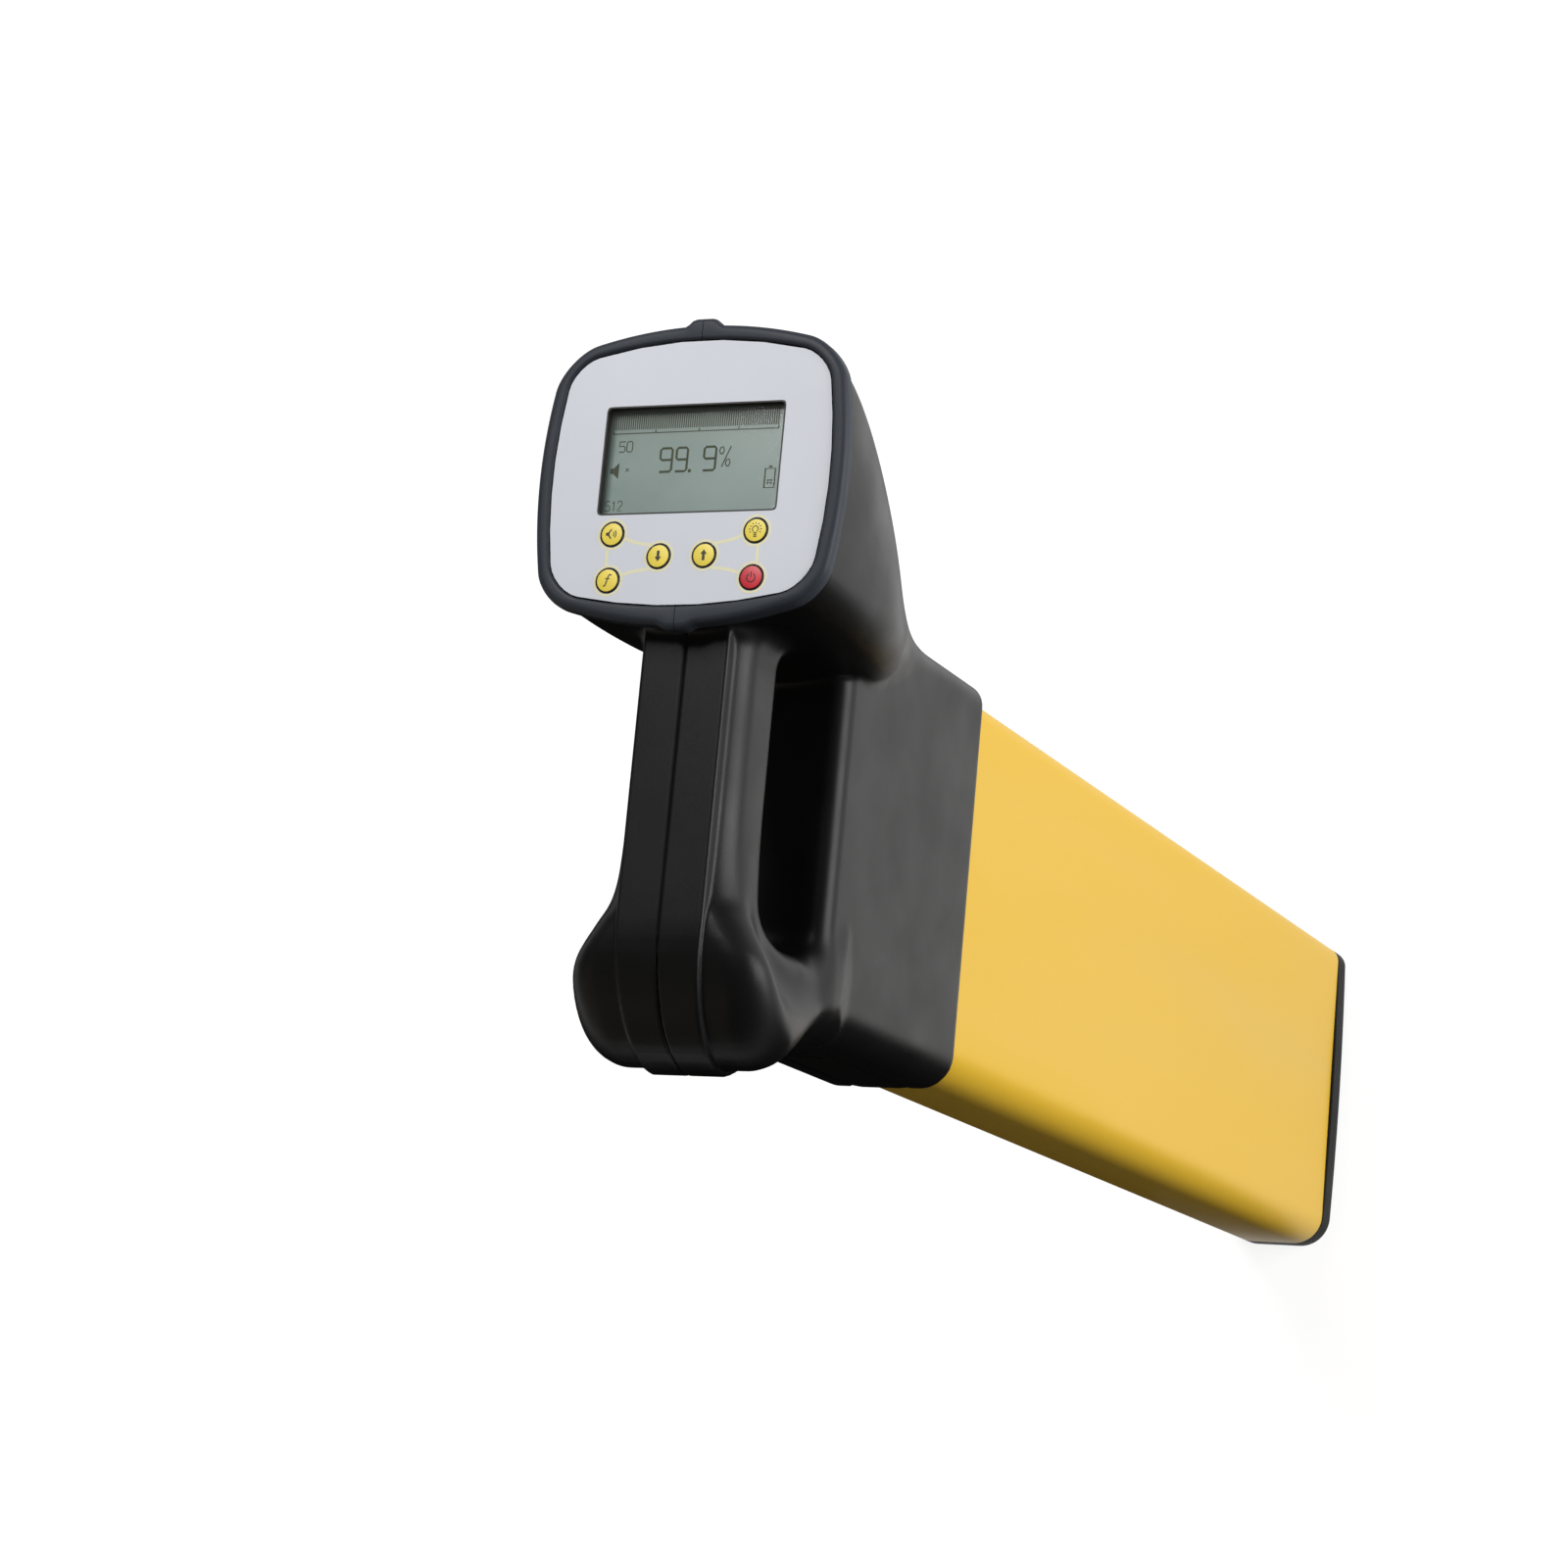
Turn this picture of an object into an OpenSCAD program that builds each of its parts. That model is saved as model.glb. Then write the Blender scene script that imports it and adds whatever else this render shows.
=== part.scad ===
// Hand-held cable locator. A housing in two halves forms the display head, the grip and
// a collar. The collar holds a rectangular aerial tube, which an end cap closes.
// The locator stands on its end cap: +Z runs up the tube, +Y towards the display head
// and +X to the user's right. All lengths are millimetres.

/* [Tube] */
// Width of the tube, across the grip
tube_w = 44; // [42:0.5:52]
// Depth of the tube, along the grip
tube_d = 132.8; // [124:0.2:144]
// Corner radius at the rear of the tube
tube_r0 = 15; // [12:0.5:17]
// Corner radius at the front of the tube
tube_r1 = 9; // [7:0.5:14]
// Wall of the tube
tube_wall = 2.5; // [1.5:0.1:3.5]
// Length of tube that shows between the end cap and the collar
tube_show = 463; // [400:0.5:600]
// Length of tube held inside the collar
tube_hold = 25; // [15:1:30]

/* [End cap] */
// Thickness of the end cap that shows
cap_t = 13; // [10:0.5:16]
// Rounding of the end cap's outer edge
cap_edge = 2.5; // [1:0.1:4]
// Depth of the cap's plug inside the tube
cap_plug = 16; // [12:1:24]
// Wall of the plug and floor of the cap
cap_wall = 3; // [2:0.1:4]
// Height of the ring seal on the plug
seal_h = 3; // [2:0.1:4]
// Depth of the ring seal in the plug
seal_t = 1.2; // [0.8:0.1:1.6]

/* [Collar] */
// Wall of the housing
wall = 2; // [1.6:0.1:2.6]
// Height of the collar, from its lower edge to the floor of the hand opening
collar_h = 116; // [108:0.5:130]
// Step from the tube out to the collar
collar_step = 3.8; // [3.6:0.1:5]
// Rounding of the collar's upper edge
collar_edge = 6.2; // [2:0.1:8]

/* [Grip] */
// Length of the hand opening
hand_len = 88; // [84:1:104]
// Height of the hand opening
hand_gap = 34; // [30:0.5:44]
// Corner radius at the rear of the hand opening
hand_r = 12; // [6:0.5:14]
// Width of the grip
grip_w = 38; // [34:1:46]
// Thickness of the grip without its raised band
grip_t = 31; // [26:0.5:34]
// Drop from the front of the head's rim to the grip's back
grip_drop = 11.6; // [8:0.2:20]
// Thickness of the bridge that joins grip and collar
bridge_t = 40; // [36:0.5:44]
// Width of the bridge at its bend
bridge_w = 68; // [58:0.5:72]
// Width of the bridge's inner side at its bend
shoulder_w = 55; // [46:0.5:58]
// Height of the bend between grip and bridge
bend_h = 29; // [26:0.5:38]
// Width of the raised band along the seam
band_w = 29; // [20:0.5:34]
// Height of the raised band along the seam
band_h = 2; // [1:0.1:4]

/* [Head] */
// Width of the head's rim
rim_w = 103; // [98:1:116]
// Length of the head's rim
rim_d = 95.1; // [92:0.1:106]
// Thickness of the head's rim
rim_t = 5.6; // [4.6:0.1:7]
// Rounding of the rim's front edge
rim_edge = 2.2; // [1:0.1:3]
// Near corner radius of the rim
rim_r0 = 8.6; // [7:0.1:14]
// Far corner radius of the rim
rim_r1 = 11.3; // [8:0.1:16]
// Width of the rim's front face at the sides and the far end
rim_side = 5.1; // [4:0.1:6]
// Width of the rim's front face at the near end
rim_foot = 6.3; // [5:0.1:8]
// Depth of the neck that joins head and collar
neck_d = 30.9; // [28:0.1:36]
// Drop from the collar's top to where the hood begins to widen
hood_drop = 45; // [40:1:56]
// Inset of the hood from the rim
hood_set = 1.4; // [1:0.1:3]
// Bulge of the head's sides
bow_side = 4.6; // [3:0.1:6]
// Bulge of the head's far edge
bow_far = 8.2; // [5:0.1:10]
// Bulge of the head's near edge
bow_near = 8.7; // [5:0.1:10]

/* [Panel] */
// Thickness of the front panel
panel_t = 2.5; // [2:0.1:3.5]
// Thickness of the printed overlay on the panel
overlay_t = 0.5; // [0.3:0.1:1]
// Depth of the overlay below the rim's front
panel_sink = 0.8; // [0.4:0.1:1.5]
// Near corner radius of the panel
panel_r0 = 8.7; // [6:0.1:14]
// Far corner radius of the panel
panel_r1 = 7.9; // [6:0.1:14]
// Thickness of the panel gasket
gasket_t = 1; // [0.6:0.1:1.6]
// Width of the panel gasket and of the ledge below it
gasket_w = 1.6; // [1.4:0.1:1.8]

/* [Display] */
// Width of the display opening
lcd_w = 60; // [50:0.5:64]
// Height of the display opening
lcd_h = 34.5; // [28:0.5:36]
// Distance from the panel's far edge to the middle of the display
lcd_drop = 37.5; // [33:0.1:40]
// Depth of the display window below the overlay
window_sink = 2; // [1.2:0.1:2.4]
// Thickness of the display window
window_t = 1.2; // [0.8:0.1:1.6]
// Thickness of the display module
lcd_t = 6.7; // [5:0.1:9]

/* [Keys] */
// Diameter of a key
key_d = 7.7; // [6:0.1:9]
// Travel of a key
key_travel = 0.5; // [0.3:0.1:0.8]
// Height of a key above the overlay
key_proud = 0.5; // [0.3:0.1:0.7]
// Distance of the outer keys from the middle
key_out = 24; // [20:0.2:27]
// Distance of the inner keys from the middle
key_in = 7.6; // [6:0.2:10]
// Distance from the middle of the display to the first row of keys
key_drop = 23.5; // [23:0.1:26]
// Distance between rows of keys
key_row = 7.3; // [6:0.1:8]

/* [Battery] */
// Diameter of a battery cell
cell_d = 14.2; // [13.5:0.1:14.5]
// Length of a battery cell
cell_l = 50.5; // [48:0.5:51]
// Number of battery cells, one behind the other
cell_n = 4; // [2:1:4]
// Width of the battery door
door_w = 20; // [19:0.5:22]
// Thickness of the battery door's plate
door_t = 2.2; // [1.8:0.1:2.3]

/* [Aerials] */
// Diameter of a ferrite rod
rod_d = 10; // [8:0.5:12]
// Length of a ferrite rod
rod_l = 104; // [80:1:108]
// Diameter of an aerial coil
coil_d = 16; // [14:0.5:17]
// Length of an aerial coil
coil_l = 60; // [40:1:70]
// Thickness of the aerial carrier plate
carrier_t = 3; // [2:0.1:4]
// Width of the aerial carrier plate
carrier_w = 90; // [80:1:100]

/* [Fasteners] */
// Diameter of a housing screw
screw_d = 3; // [2.5:0.1:3.5]
// Length of a housing screw below its head
screw_l = 20; // [16:1:24]
// Diameter of a housing screw's head
screw_head_d = 5.6; // [5:0.1:6]

/* [Hidden] */

// Facets of round solids, and steps along lofted outlines
$fn = 48;
arc_n = 6;
side_n = 5;
edge_n = 4;
hood_n = 10;
grip_n = 6;
bend_n = 6;
stem_n = 5;
band_n = 2;

// Fits
fit = 0.1;
run_gap = 0.3;
seam = 0.2;
overrun = 1;

// Heights up the locator
collar_z = cap_t + tube_show;
tube_z1 = collar_z + tube_hold;
tube_seal_t = 1;
shelf_t = 2;
shelf_z = tube_z1 + tube_seal_t;
collar_top = collar_z + collar_h;
grip_in = collar_top + hand_gap;
grip_top = grip_in + grip_t;
head_z = grip_top + grip_drop;
rim_z = head_z - rim_t;
overlay_z1 = head_z - panel_sink;
overlay_z0 = overlay_z1 - overlay_t;
panel_z = overlay_z0 - panel_t;
pocket_z = panel_z - gasket_t;
ledge_t = 2.5;
ledge_z = pocket_z - ledge_t;

// Collar outline
collar_hw = tube_w / 2 + collar_step;
collar_front = tube_d / 2 + collar_step;
collar_rear = -collar_front;

// Head outline
neck_y = collar_front - neck_d;
neck_r = 9;
neck_bow = 6.5;
rim_set = 0.9;
rim_y0 = neck_y + rim_set;
rim_y1 = rim_y0 + rim_d;
rim_back = 0.8;
groove_h = 1;
groove_t = 1;
hood_z0 = collar_top - hood_drop;
hood_z1 = rim_z - groove_h;
hood_tuck = 1.4;
hood_round = 10.6;
hood_lean = 1.7;
hood_side_power = 1.54;
hood_back_power = 1.5;
bump_w = 13;
bump_flat_share = 0.46;
bump_h = 2.2;
bump_foot_h = 1.4;

// Panel outline
panel_gap = 0.4;
panel_hw = rim_w / 2 - rim_side;
panel_y0 = rim_y0 + rim_foot;
panel_y1 = rim_y1 - rim_side;
rim_bow = [bow_side, bow_far, bow_near];
panel_bow_shares = [0.85, 0.76, 0.59];
panel_bow = [for (k = [0:2]) rim_bow[k] * panel_bow_shares[k]];

// Grip and bridge
hand_y0 = neck_y - hand_len;
grip_root = 18;
grip_r = 11;
grip_in_r = 9;
bridge_r = 16;
bridge_in_r = 8;
flare_lead = 4.7;
flare_run = 24;
stem_power = 1.3;
bend_z = grip_top - bend_h;
band_root = 3;
band_r = 1;
stem_over = 2.5;
stem_tuck = 1.6;
stem_depth = 8;

// Display
lcd_y = panel_y1 - lcd_drop;
lcd_corner = 1;
window_lap = 1.1;
window_z1 = overlay_z1 - window_sink;
window_z0 = window_z1 - window_t;
lcd_z1 = window_z0 - run_gap;
lcd_z0 = lcd_z1 - lcd_t;
lcd_side = 5;
lcd_far = 4;
glass_t = 1.1;
glass_lap = 1;

// Boards
board_t = 1.6;
board_in = 4.5;
board_z = lcd_z0 - board_t;
standoff_d = 4;
standoff_in = 5.5;
board_screw_d = 2;
board_screw_l = 4;
board_screw_head_d = 3.6;
board_screw_head_t = 1.4;
plug_w = 9;
plug_d = 6;
plug_h = 4;
buzzer_d = 12;
buzzer_h = 6;
buzzer_y = lcd_y;

// Keys
key_flange = 0.6;
key_flange_t = 0.8;
key_z1 = overlay_z1 + key_proud;
key_flange_z = panel_z - fit - key_flange_t;
switch_w = 6;
switch_h = 3.5;
switch_pin_d = 3.5;
row_y = [for (k = [0:2]) lcd_y - key_drop - k * key_row];
sound_at = [-key_out, row_y[0]];
light_at = [key_out, row_y[0]];
down_at = [-key_in, row_y[1]];
up_at = [key_in, row_y[1]];
function_at = [-key_out, row_y[2]];
power_at = [key_out, row_y[2]];
key_places = [sound_at, light_at, down_at, up_at, function_at, power_at];

// What stands between the keys: posts beside the inner keys, posts beyond the display, and the plugs
near_post = [(key_in + key_out) / 2, row_y[1]];
far_post = [near_post[0], panel_y1 - board_in - standoff_in];
plug_y = row_y[0];

// Battery door, tray and cells
rail_w = 2;
rail_t = 1.2;
rail_y = collar_rear + door_t;
door_in = rail_y + rail_t;
door_lap = 2;
frame_t = 2;
notch_h = 2.5;
notch_t = 2;
tray_wall = 1.2;
contact_t = 0.4;
contact_w_share = 0.6;
cell_gap = 0.6;
cell_pitch = cell_d + cell_gap;
cell_nub_d_share = 0.36;
cell_nub_h = 1.2;
tray_w = cell_d + cell_gap + 2 * tray_wall;
tray_l = cell_n * cell_pitch + 2 * tray_wall;
tray_h = cell_l + 2 * contact_t + 2 * tray_wall;
tray_z = shelf_z + shelf_t;
tray_y = door_in + run_gap;
door_l = tray_z + tray_h + door_lap - collar_z;
thumb_n = 4;
thumb_h = 1.2;
thumb_t = 0.8;

// Aerials in the tube
inner_d = tube_d - 2 * tube_wall;
plug_in = tube_wall + fit;
carrier_top_in = 20;
carrier_z1 = tube_z1 - carrier_top_in;
lower_z_in = 42;
lower_z = cap_t + cap_plug + lower_z_in;
upper_z = carrier_z1 - lower_z_in;
null_z = (lower_z + upper_z) / 2;
coil_x = carrier_t / 2 + coil_d / 2 + fit;
saddle_t = 6;
saddle_inset = 6;
foam_t = 24;
foam_shares = [0.17, 0.32, 0.78];
preamp_t = 1.6;
preamp_w = 34;
preamp_h = 60;
chip_shares = [0.3, 0.25];
chip_t = 1.2;

// Housing screws, as places in the plane of the seam
boss_r = 4.6;
bore_gap = 0.2;
screw_head_t = 2.4;
head_x = -(screw_l - screw_head_t) / 2;
fin_t = 1.5;
fin_l = 6;
boss_head_share = 0.36;
boss_neck_share = 0.32;
boss_collar_share = 0.7;
boss_grip_shares = [0.24, 0.72];
boss_at = [
    [rim_y1 - rim_d * boss_head_share, hood_z1 - hood_drop / 2],
    [neck_y + neck_d * boss_neck_share, collar_top - neck_d / 2],
    [neck_y - hand_len * boss_grip_shares[0], grip_in + grip_t / 2],
    [neck_y - hand_len * boss_grip_shares[1], grip_in + grip_t / 2],
    [hand_y0 - bridge_t / 2, bend_z],
    [collar_front - neck_d / 2, shelf_z + neck_d * boss_collar_share],
    [hand_y0 + hand_len * boss_grip_shares[0], collar_top - wall - 2 * boss_r]
];

// Leads
lead_d = 4;
lead_n = 8;
aerial_lead_x = -carrier_t / 2 - preamp_t - lead_d / 2 - fit;
battery_lead_x = tray_w / 2 + lead_d / 2 + fit;
neck_path_y = collar_front - wall - lead_d;
passage_w = 2 * (lead_d - aerial_lead_x);
passage_y = tray_y + tray_l + tray_wall;
battery_lead_z = shelf_z + neck_d * boss_collar_share + fin_l + 4 * lead_d;

// Outlines

function ease(t) = t * t * (3 - 2 * t);

function arc(cx, cy, r, a, n) = [for (i = [0:n])
    [cx + r * cos(a + 90 * i / n), cy + r * sin(a + 90 * i / n)]];

// A rectangle with corner arcs of n steps, and its own radius at either end
function rounded_rect(hw, y0, y1, r0, r1, n) = concat(
    arc(hw - r1, y1 - r1, r1, 0, n), arc(r1 - hw, y1 - r1, r1, 90, n),
    arc(r0 - hw, y0 + r0, r0, 180, n), arc(hw - r0, y0 + r0, r0, 270, n));

// Adds points along the straight runs between the four corner arcs
function split_sides(p, n) = [for (i = [0:len(p) - 1]) each
    i % (n + 1) == n
        ? [for (j = [0:side_n - 1]) p[i] + (p[(i + 1) % len(p)] - p[i]) * j / side_n]
        : [p[i]]];

// A rounded rectangle whose edges bulge: the sides, the far edge and the near edge
function bowed_rect(hw, y0, y1, r0, r1, bulges) =
    let (w = hw - bulges[0], lo = y0 + bulges[2], hi = y1 - bulges[1])
    let (mid = (lo + hi) / 2, h = (hi - lo) / 2)
    [for (q = split_sides(rounded_rect(w, lo, hi, r0, r1, arc_n), arc_n))
        let (end = q[1] > mid ? bulges[1] : bulges[2]) [
        q[0] + bulges[0] * q[0] / w * (1 - pow((q[1] - mid) / h, 2)),
        q[1] + end * (q[1] - mid) / h * (1 - pow(q[0] / w, 2))]];

function panel_outline(inset) = bowed_rect(panel_hw - inset, panel_y0 + inset,
    panel_y1 - inset, max(fit, panel_r0 - inset), max(fit, panel_r1 - inset), panel_bow);

function rim_outline(inset) = bowed_rect(rim_w / 2 - inset, rim_y0 + inset,
    rim_y1 - inset, rim_r0 - inset, rim_r1 - inset, rim_bow);

function collar_outline(inset) = rounded_rect(collar_hw - inset, collar_rear + inset,
    collar_front - inset, tube_r0 + collar_step - inset, tube_r1 + collar_step - inset, arc_n);

function tube_outline(inset) = rounded_rect(tube_w / 2 - inset, inset - tube_d / 2,
    tube_d / 2 - inset, tube_r0 - inset, tube_r1 - inset, arc_n);

// The hood's outline at share s of its height
function hood_outline(s, inset) =
    let (neck_hw = collar_hw - hood_tuck, neck_back = collar_front - hood_tuck)
    let (hw = neck_hw + (rim_w / 2 - hood_set - neck_hw) * (1 - pow(1 - s, hood_side_power)))
    let (back = neck_back + (rim_y1 - hood_set - neck_back) * (1 - pow(1 - s, hood_back_power)))
    let (front = neck_y + (rim_y0 + hood_set - neck_y) * s + hood_lean * (1 - s))
    let (r0 = neck_r + (rim_r0 - hood_set - neck_r) * s)
    let (r1 = neck_r + (rim_r1 - hood_set - neck_r) * s + hood_round * sin(180 * s))
    let (bulges = [bow_side * s, bow_far * s, neck_bow + (bow_near - neck_bow) * s])
    bowed_rect(hw - inset, front + inset, back - inset, r0 - inset, r1 - inset, bulges);

function raised(outline, z) = [for (q = outline) [q[0], q[1], z]];

function middle(ring) = [for (k = [0:2]) let (v = [for (q = ring) q[k]]) (min(v) + max(v)) / 2];

// Half width of the grip's outer side at a place along it
function outer_hw(y) = let (t = (hand_y0 + flare_lead - y) / flare_run)
    grip_w / 2 + (bridge_w - grip_w) / 2 * ease(max(0, min(1, t)));

// Stations along grip and bridge: outer point, inner point, inner and outer half width, two corner radii
function grip_station(f) = [
    [neck_y + grip_root + (hand_y0 - neck_y - grip_root) * f, grip_top],
    [neck_y + grip_root + (hand_y0 + hand_r - neck_y - grip_root) * f, grip_in],
    [grip_w / 2, outer_hw(neck_y + grip_root + (hand_y0 - neck_y - grip_root) * f)],
    grip_r, grip_in_r];

function bend_station(a) = [
    [hand_y0 - bridge_t * sin(a), bend_z + bend_h * cos(a)],
    [hand_y0 + hand_r - hand_r * sin(a), grip_in - hand_r + hand_r * cos(a)],
    [grip_w / 2 + (shoulder_w - grip_w) / 2 * pow(sin(a), 2), outer_hw(hand_y0 - bridge_t * sin(a))],
    grip_r + (bridge_r - grip_r) * sin(a), grip_in_r + (bridge_in_r - grip_in_r) * sin(a)];

function stem_station(u) =
    let (rear = hand_y0 - bridge_t, foot = collar_z + door_l + notch_h + stem_over)
    [[rear + (collar_rear + stem_tuck - rear) * pow(sin(90 * u), stem_power), bend_z + (foot - bend_z) * u],
    [hand_y0 + hand_r * (1 - cos(90 * u)), collar_top + hand_r * (1 - sin(90 * u)) - stem_depth * u * u],
    [for (w = [shoulder_w, bridge_w]) w / 2 + (collar_hw - stem_tuck - w / 2) * ease(u)],
    bridge_r, bridge_in_r];

stations = concat(
    [for (i = [0:grip_n - 1]) grip_station(i / grip_n)],
    [for (i = [0:bend_n]) bend_station(90 * i / bend_n)],
    [for (i = [1:stem_n]) stem_station(i / stem_n)]);

// A ring across the grip, between two heights measured from the inner point
function span_ring(at, in_hw, out_hw, lo, hi, r_lo, r_hi, n) =
    let (dir = (at[0] - at[1]) / norm(at[0] - at[1]))
    [for (q = rounded_rect(out_hw, lo, hi, r_lo, r_hi, n))
        let (hw = in_hw + (out_hw - in_hw) * (q[1] - lo) / (hi - lo))
        [q[0] * hw / out_hw, at[1][0] + dir[0] * q[1], at[1][1] + dir[1] * q[1]]];

function grip_ring(at, inset) = span_ring(at, at[2][0] - inset, at[2][1] - inset, inset,
    norm(at[0] - at[1]) - inset, at[4] - inset, at[3] - inset, arc_n);

function band_ring(at) = span_ring(at, band_w / 2, band_w / 2, norm(at[0] - at[1]) - band_root,
    norm(at[0] - at[1]) + band_h, band_r, band_r, band_n);

// Shapes that several pieces share

// A closed skin over rings that have the same number of points
module loft(rings) {
    n = len(rings[0]);
    last = (len(rings) - 1) * n;
    low = last + n;
    high = low + 1;
    polyhedron(
        concat([for (r = rings) each r], [middle(rings[0]), middle(rings[len(rings) - 1])]),
        concat(
            [for (i = [0:n - 1]) [low, i, (i + 1) % n]],
            [for (k = [0:len(rings) - 2], i = [0:n - 1]) each
                let (a = k * n + i, d = k * n + (i + 1) % n) [[a, a + n, d + n], [a, d + n, d]]],
            [for (i = [0:n - 1]) [high, last + (i + 1) % n, last + i]]));
}

module round_rect(w, d, r) {
    square([w - 2 * r, d], center = true);
    square([w, d - 2 * r], center = true);
    for (x = [-1, 1], y = [-1, 1])
        translate([x * (w / 2 - r), y * (d / 2 - r)])
            circle(r);
}

// The tube's section, drawn in by an inset
module tube_plan(inset) {
    hw = tube_w / 2 - inset;
    end = tube_d / 2 - inset;
    r0 = tube_r0 - inset;
    r1 = tube_r1 - inset;
    translate([-hw, r0 - end])
        square([2 * hw, 2 * end - r0 - r1]);
    translate([r1 - hw, 0])
        square([2 * (hw - r1), end]);
    translate([r0 - hw, -end])
        square([2 * (hw - r0), end]);
    for (side = [-1, 1]) {
        translate([side * (hw - r1), end - r1])
            circle(r1);
        translate([side * (hw - r0), r0 - end])
            circle(r0);
    }
}

module along_x(y, z) {
    translate([0, y, z])
        rotate([0, 90, 0])
            children();
}

module along_y(x, z) {
    translate([x, 0, z])
        rotate([90, 0, 0])
            children();
}

// Housing

module collar_form(inset, z0) {
    top = collar_top - inset;
    loft(concat(
        [raised(collar_outline(inset), z0)],
        [for (k = [0:edge_n])
            let (a = 90 * k / edge_n)
            raised(collar_outline(inset + collar_edge * (1 - cos(a))), top - collar_edge * (1 - sin(a)))]));
}

module hood_form(inset, top) {
    loft(concat(
        [for (k = [0:hood_n]) let (s = k / hood_n)
            raised(hood_outline(s, inset), hood_z0 + (top - hood_z0) * s)]));
}

module grip_form(inset) {
    loft([for (at = stations) grip_ring(at, inset)]);
}

module band_form() {
    loft([for (at = stations) band_ring(at)]);
}

module rim_form() {
    loft(concat(
        [raised(rim_outline(rim_back), rim_z), raised(rim_outline(0), rim_z + rim_back)],
        [for (k = [0:edge_n])
            let (a = 90 * k / edge_n)
            raised(rim_outline(rim_edge * (1 - cos(a))), head_z - rim_edge * (1 - sin(a)))]));
}

module groove_form() {
    loft([raised(rim_outline(hood_set + groove_t), ledge_z),
        raised(rim_outline(hood_set + groove_t), rim_z + rim_back)]);
}

// A small raised lug on the rim, where the seam crosses it
module rim_bump(y, rise) {
    half = bump_w / 2;
    translate([0, y, rim_z])
        linear_extrude(rim_t - rim_edge / 2)
            polygon([[-half, 0], [-half * bump_flat_share, rise], [half * bump_flat_share, rise],
                [half, 0], [half, -rim_side * sign(rise)], [-half, -rim_side * sign(rise)]]);
}

module housing_form() {
    collar_form(0, collar_z);
    hood_form(0, hood_z1);
    groove_form();
    rim_form();
    rim_bump(rim_y1, bump_h);
    rim_bump(rim_y0, -bump_foot_h);
    grip_form(0);
    band_form();
}

// The housing's form above the battery shelf, drawn in by an inset
module housing_core(inset, z0) {
    collar_form(inset, z0);
    hood_form(inset, ledge_z);
    grip_form(inset);
}

// Bosses with fins, and the frame of the battery door
module housing_inside() {
    for (at = boss_at) {
        along_x(at[0], at[1])
            cylinder(r = boss_r, h = rim_w, center = true);
        translate([0, at[0], at[1]]) {
            cube([rim_w, 2 * fin_l, fin_t], center = true);
            cube([rim_w, fin_t, 2 * fin_l], center = true);
        }
    }
    frame_w = door_w + 2 * (rail_w + run_gap + frame_t);
    translate([-frame_w / 2, collar_rear - overrun, collar_z - overrun])
        cube([frame_w, door_in + run_gap + frame_t - collar_rear + overrun,
            door_l + notch_h + frame_t + overrun]);
}

module door_outline(gap) {
    half = door_w / 2 + gap;
    rail = half + rail_w;
    translate([-half, collar_rear])
        square([2 * half, door_t + gap]);
    translate([-rail, rail_y - gap])
        square([2 * rail, rail_t + 2 * gap]);
}

// What the door, the tray, the tube, the panel and the screws take out of the housing
module housing_cuts() {
    translate([0, 0, collar_z - overrun])
        linear_extrude(door_l + overrun + run_gap) {
            door_outline(run_gap);
            translate([-door_w / 2 - run_gap, collar_rear - bridge_t])
                square([door_w + 2 * run_gap, bridge_t + door_t]);
        }
    translate([-door_w / 2, collar_rear - bridge_t, collar_z + door_l])
        cube([door_w, bridge_t + notch_t, notch_h]);
    translate([-tray_w / 2 - run_gap, collar_rear, tray_z])
        cube([tray_w + 2 * run_gap, tray_l, tray_h + run_gap]);
    translate([0, 0, collar_z - overrun])
        linear_extrude(tube_hold + tube_seal_t + overrun)
            tube_plan(-fit);
    translate([-passage_w / 2, passage_y, shelf_z - overrun])
        cube([passage_w, inner_d / 2 - passage_y, shelf_t + 2 * overrun]);
    translate([0, 0, pocket_z])
        linear_extrude(head_z - pocket_z + overrun)
            polygon(panel_outline(-panel_gap));
    translate([0, 0, ledge_z - overrun])
        linear_extrude(ledge_t + 2 * overrun)
            polygon(panel_outline(gasket_w));
    for (at = boss_at) {
        along_x(at[0], at[1])
            cylinder(d = screw_d + 2 * bore_gap, h = 2 * screw_l, center = true);
        along_x(at[0], at[1])
            translate([0, 0, -rim_w])
                cylinder(d = screw_head_d + 2 * bore_gap, h = rim_w + head_x);
    }
}

module housing_half(side) {
    intersection() {
        translate([side > 0 ? seam / 2 : -rim_w, collar_rear - rim_w, 0])
            cube([rim_w - seam / 2, 2 * rim_w + rim_y1 - collar_rear, head_z + rim_t]);
        difference() {
            union() {
                difference() {
                    housing_form();
                    housing_core(wall, tray_z);
                }
                intersection() {
                    housing_core(wall / 2, tray_z - shelf_t / 2);
                    housing_inside();
                }
            }
            housing_cuts();
        }
    }
}

module housing_left() {
    color("#26282b")
        housing_half(-1);
}

module housing_right() {
    color("#26282b")
        housing_half(1);
}

// Front panel and display

module window_opening() {
    translate([0, lcd_y])
        round_rect(lcd_w, lcd_h, lcd_corner);
}

module key_holes() {
    for (at = key_places)
        translate(at)
            circle(d = key_d + 2 * run_gap);
}

module front_panel() {
    color("#33363a")
        difference() {
            translate([0, 0, panel_z])
                linear_extrude(panel_t)
                    difference() {
                        polygon(panel_outline(0));
                        window_opening();
                        key_holes();
                    }
            translate([0, lcd_y, panel_z - overrun])
                linear_extrude(overrun + window_z1 - panel_z)
                    square([lcd_w + 2 * (window_lap + fit), lcd_h + 2 * (window_lap + fit)], center = true);
        }
}

module panel_overlay() {
    color("#d5d9e2")
        translate([0, 0, overlay_z0])
            linear_extrude(overlay_t)
                difference() {
                    polygon(panel_outline(0));
                    window_opening();
                    key_holes();
                }
}

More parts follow.
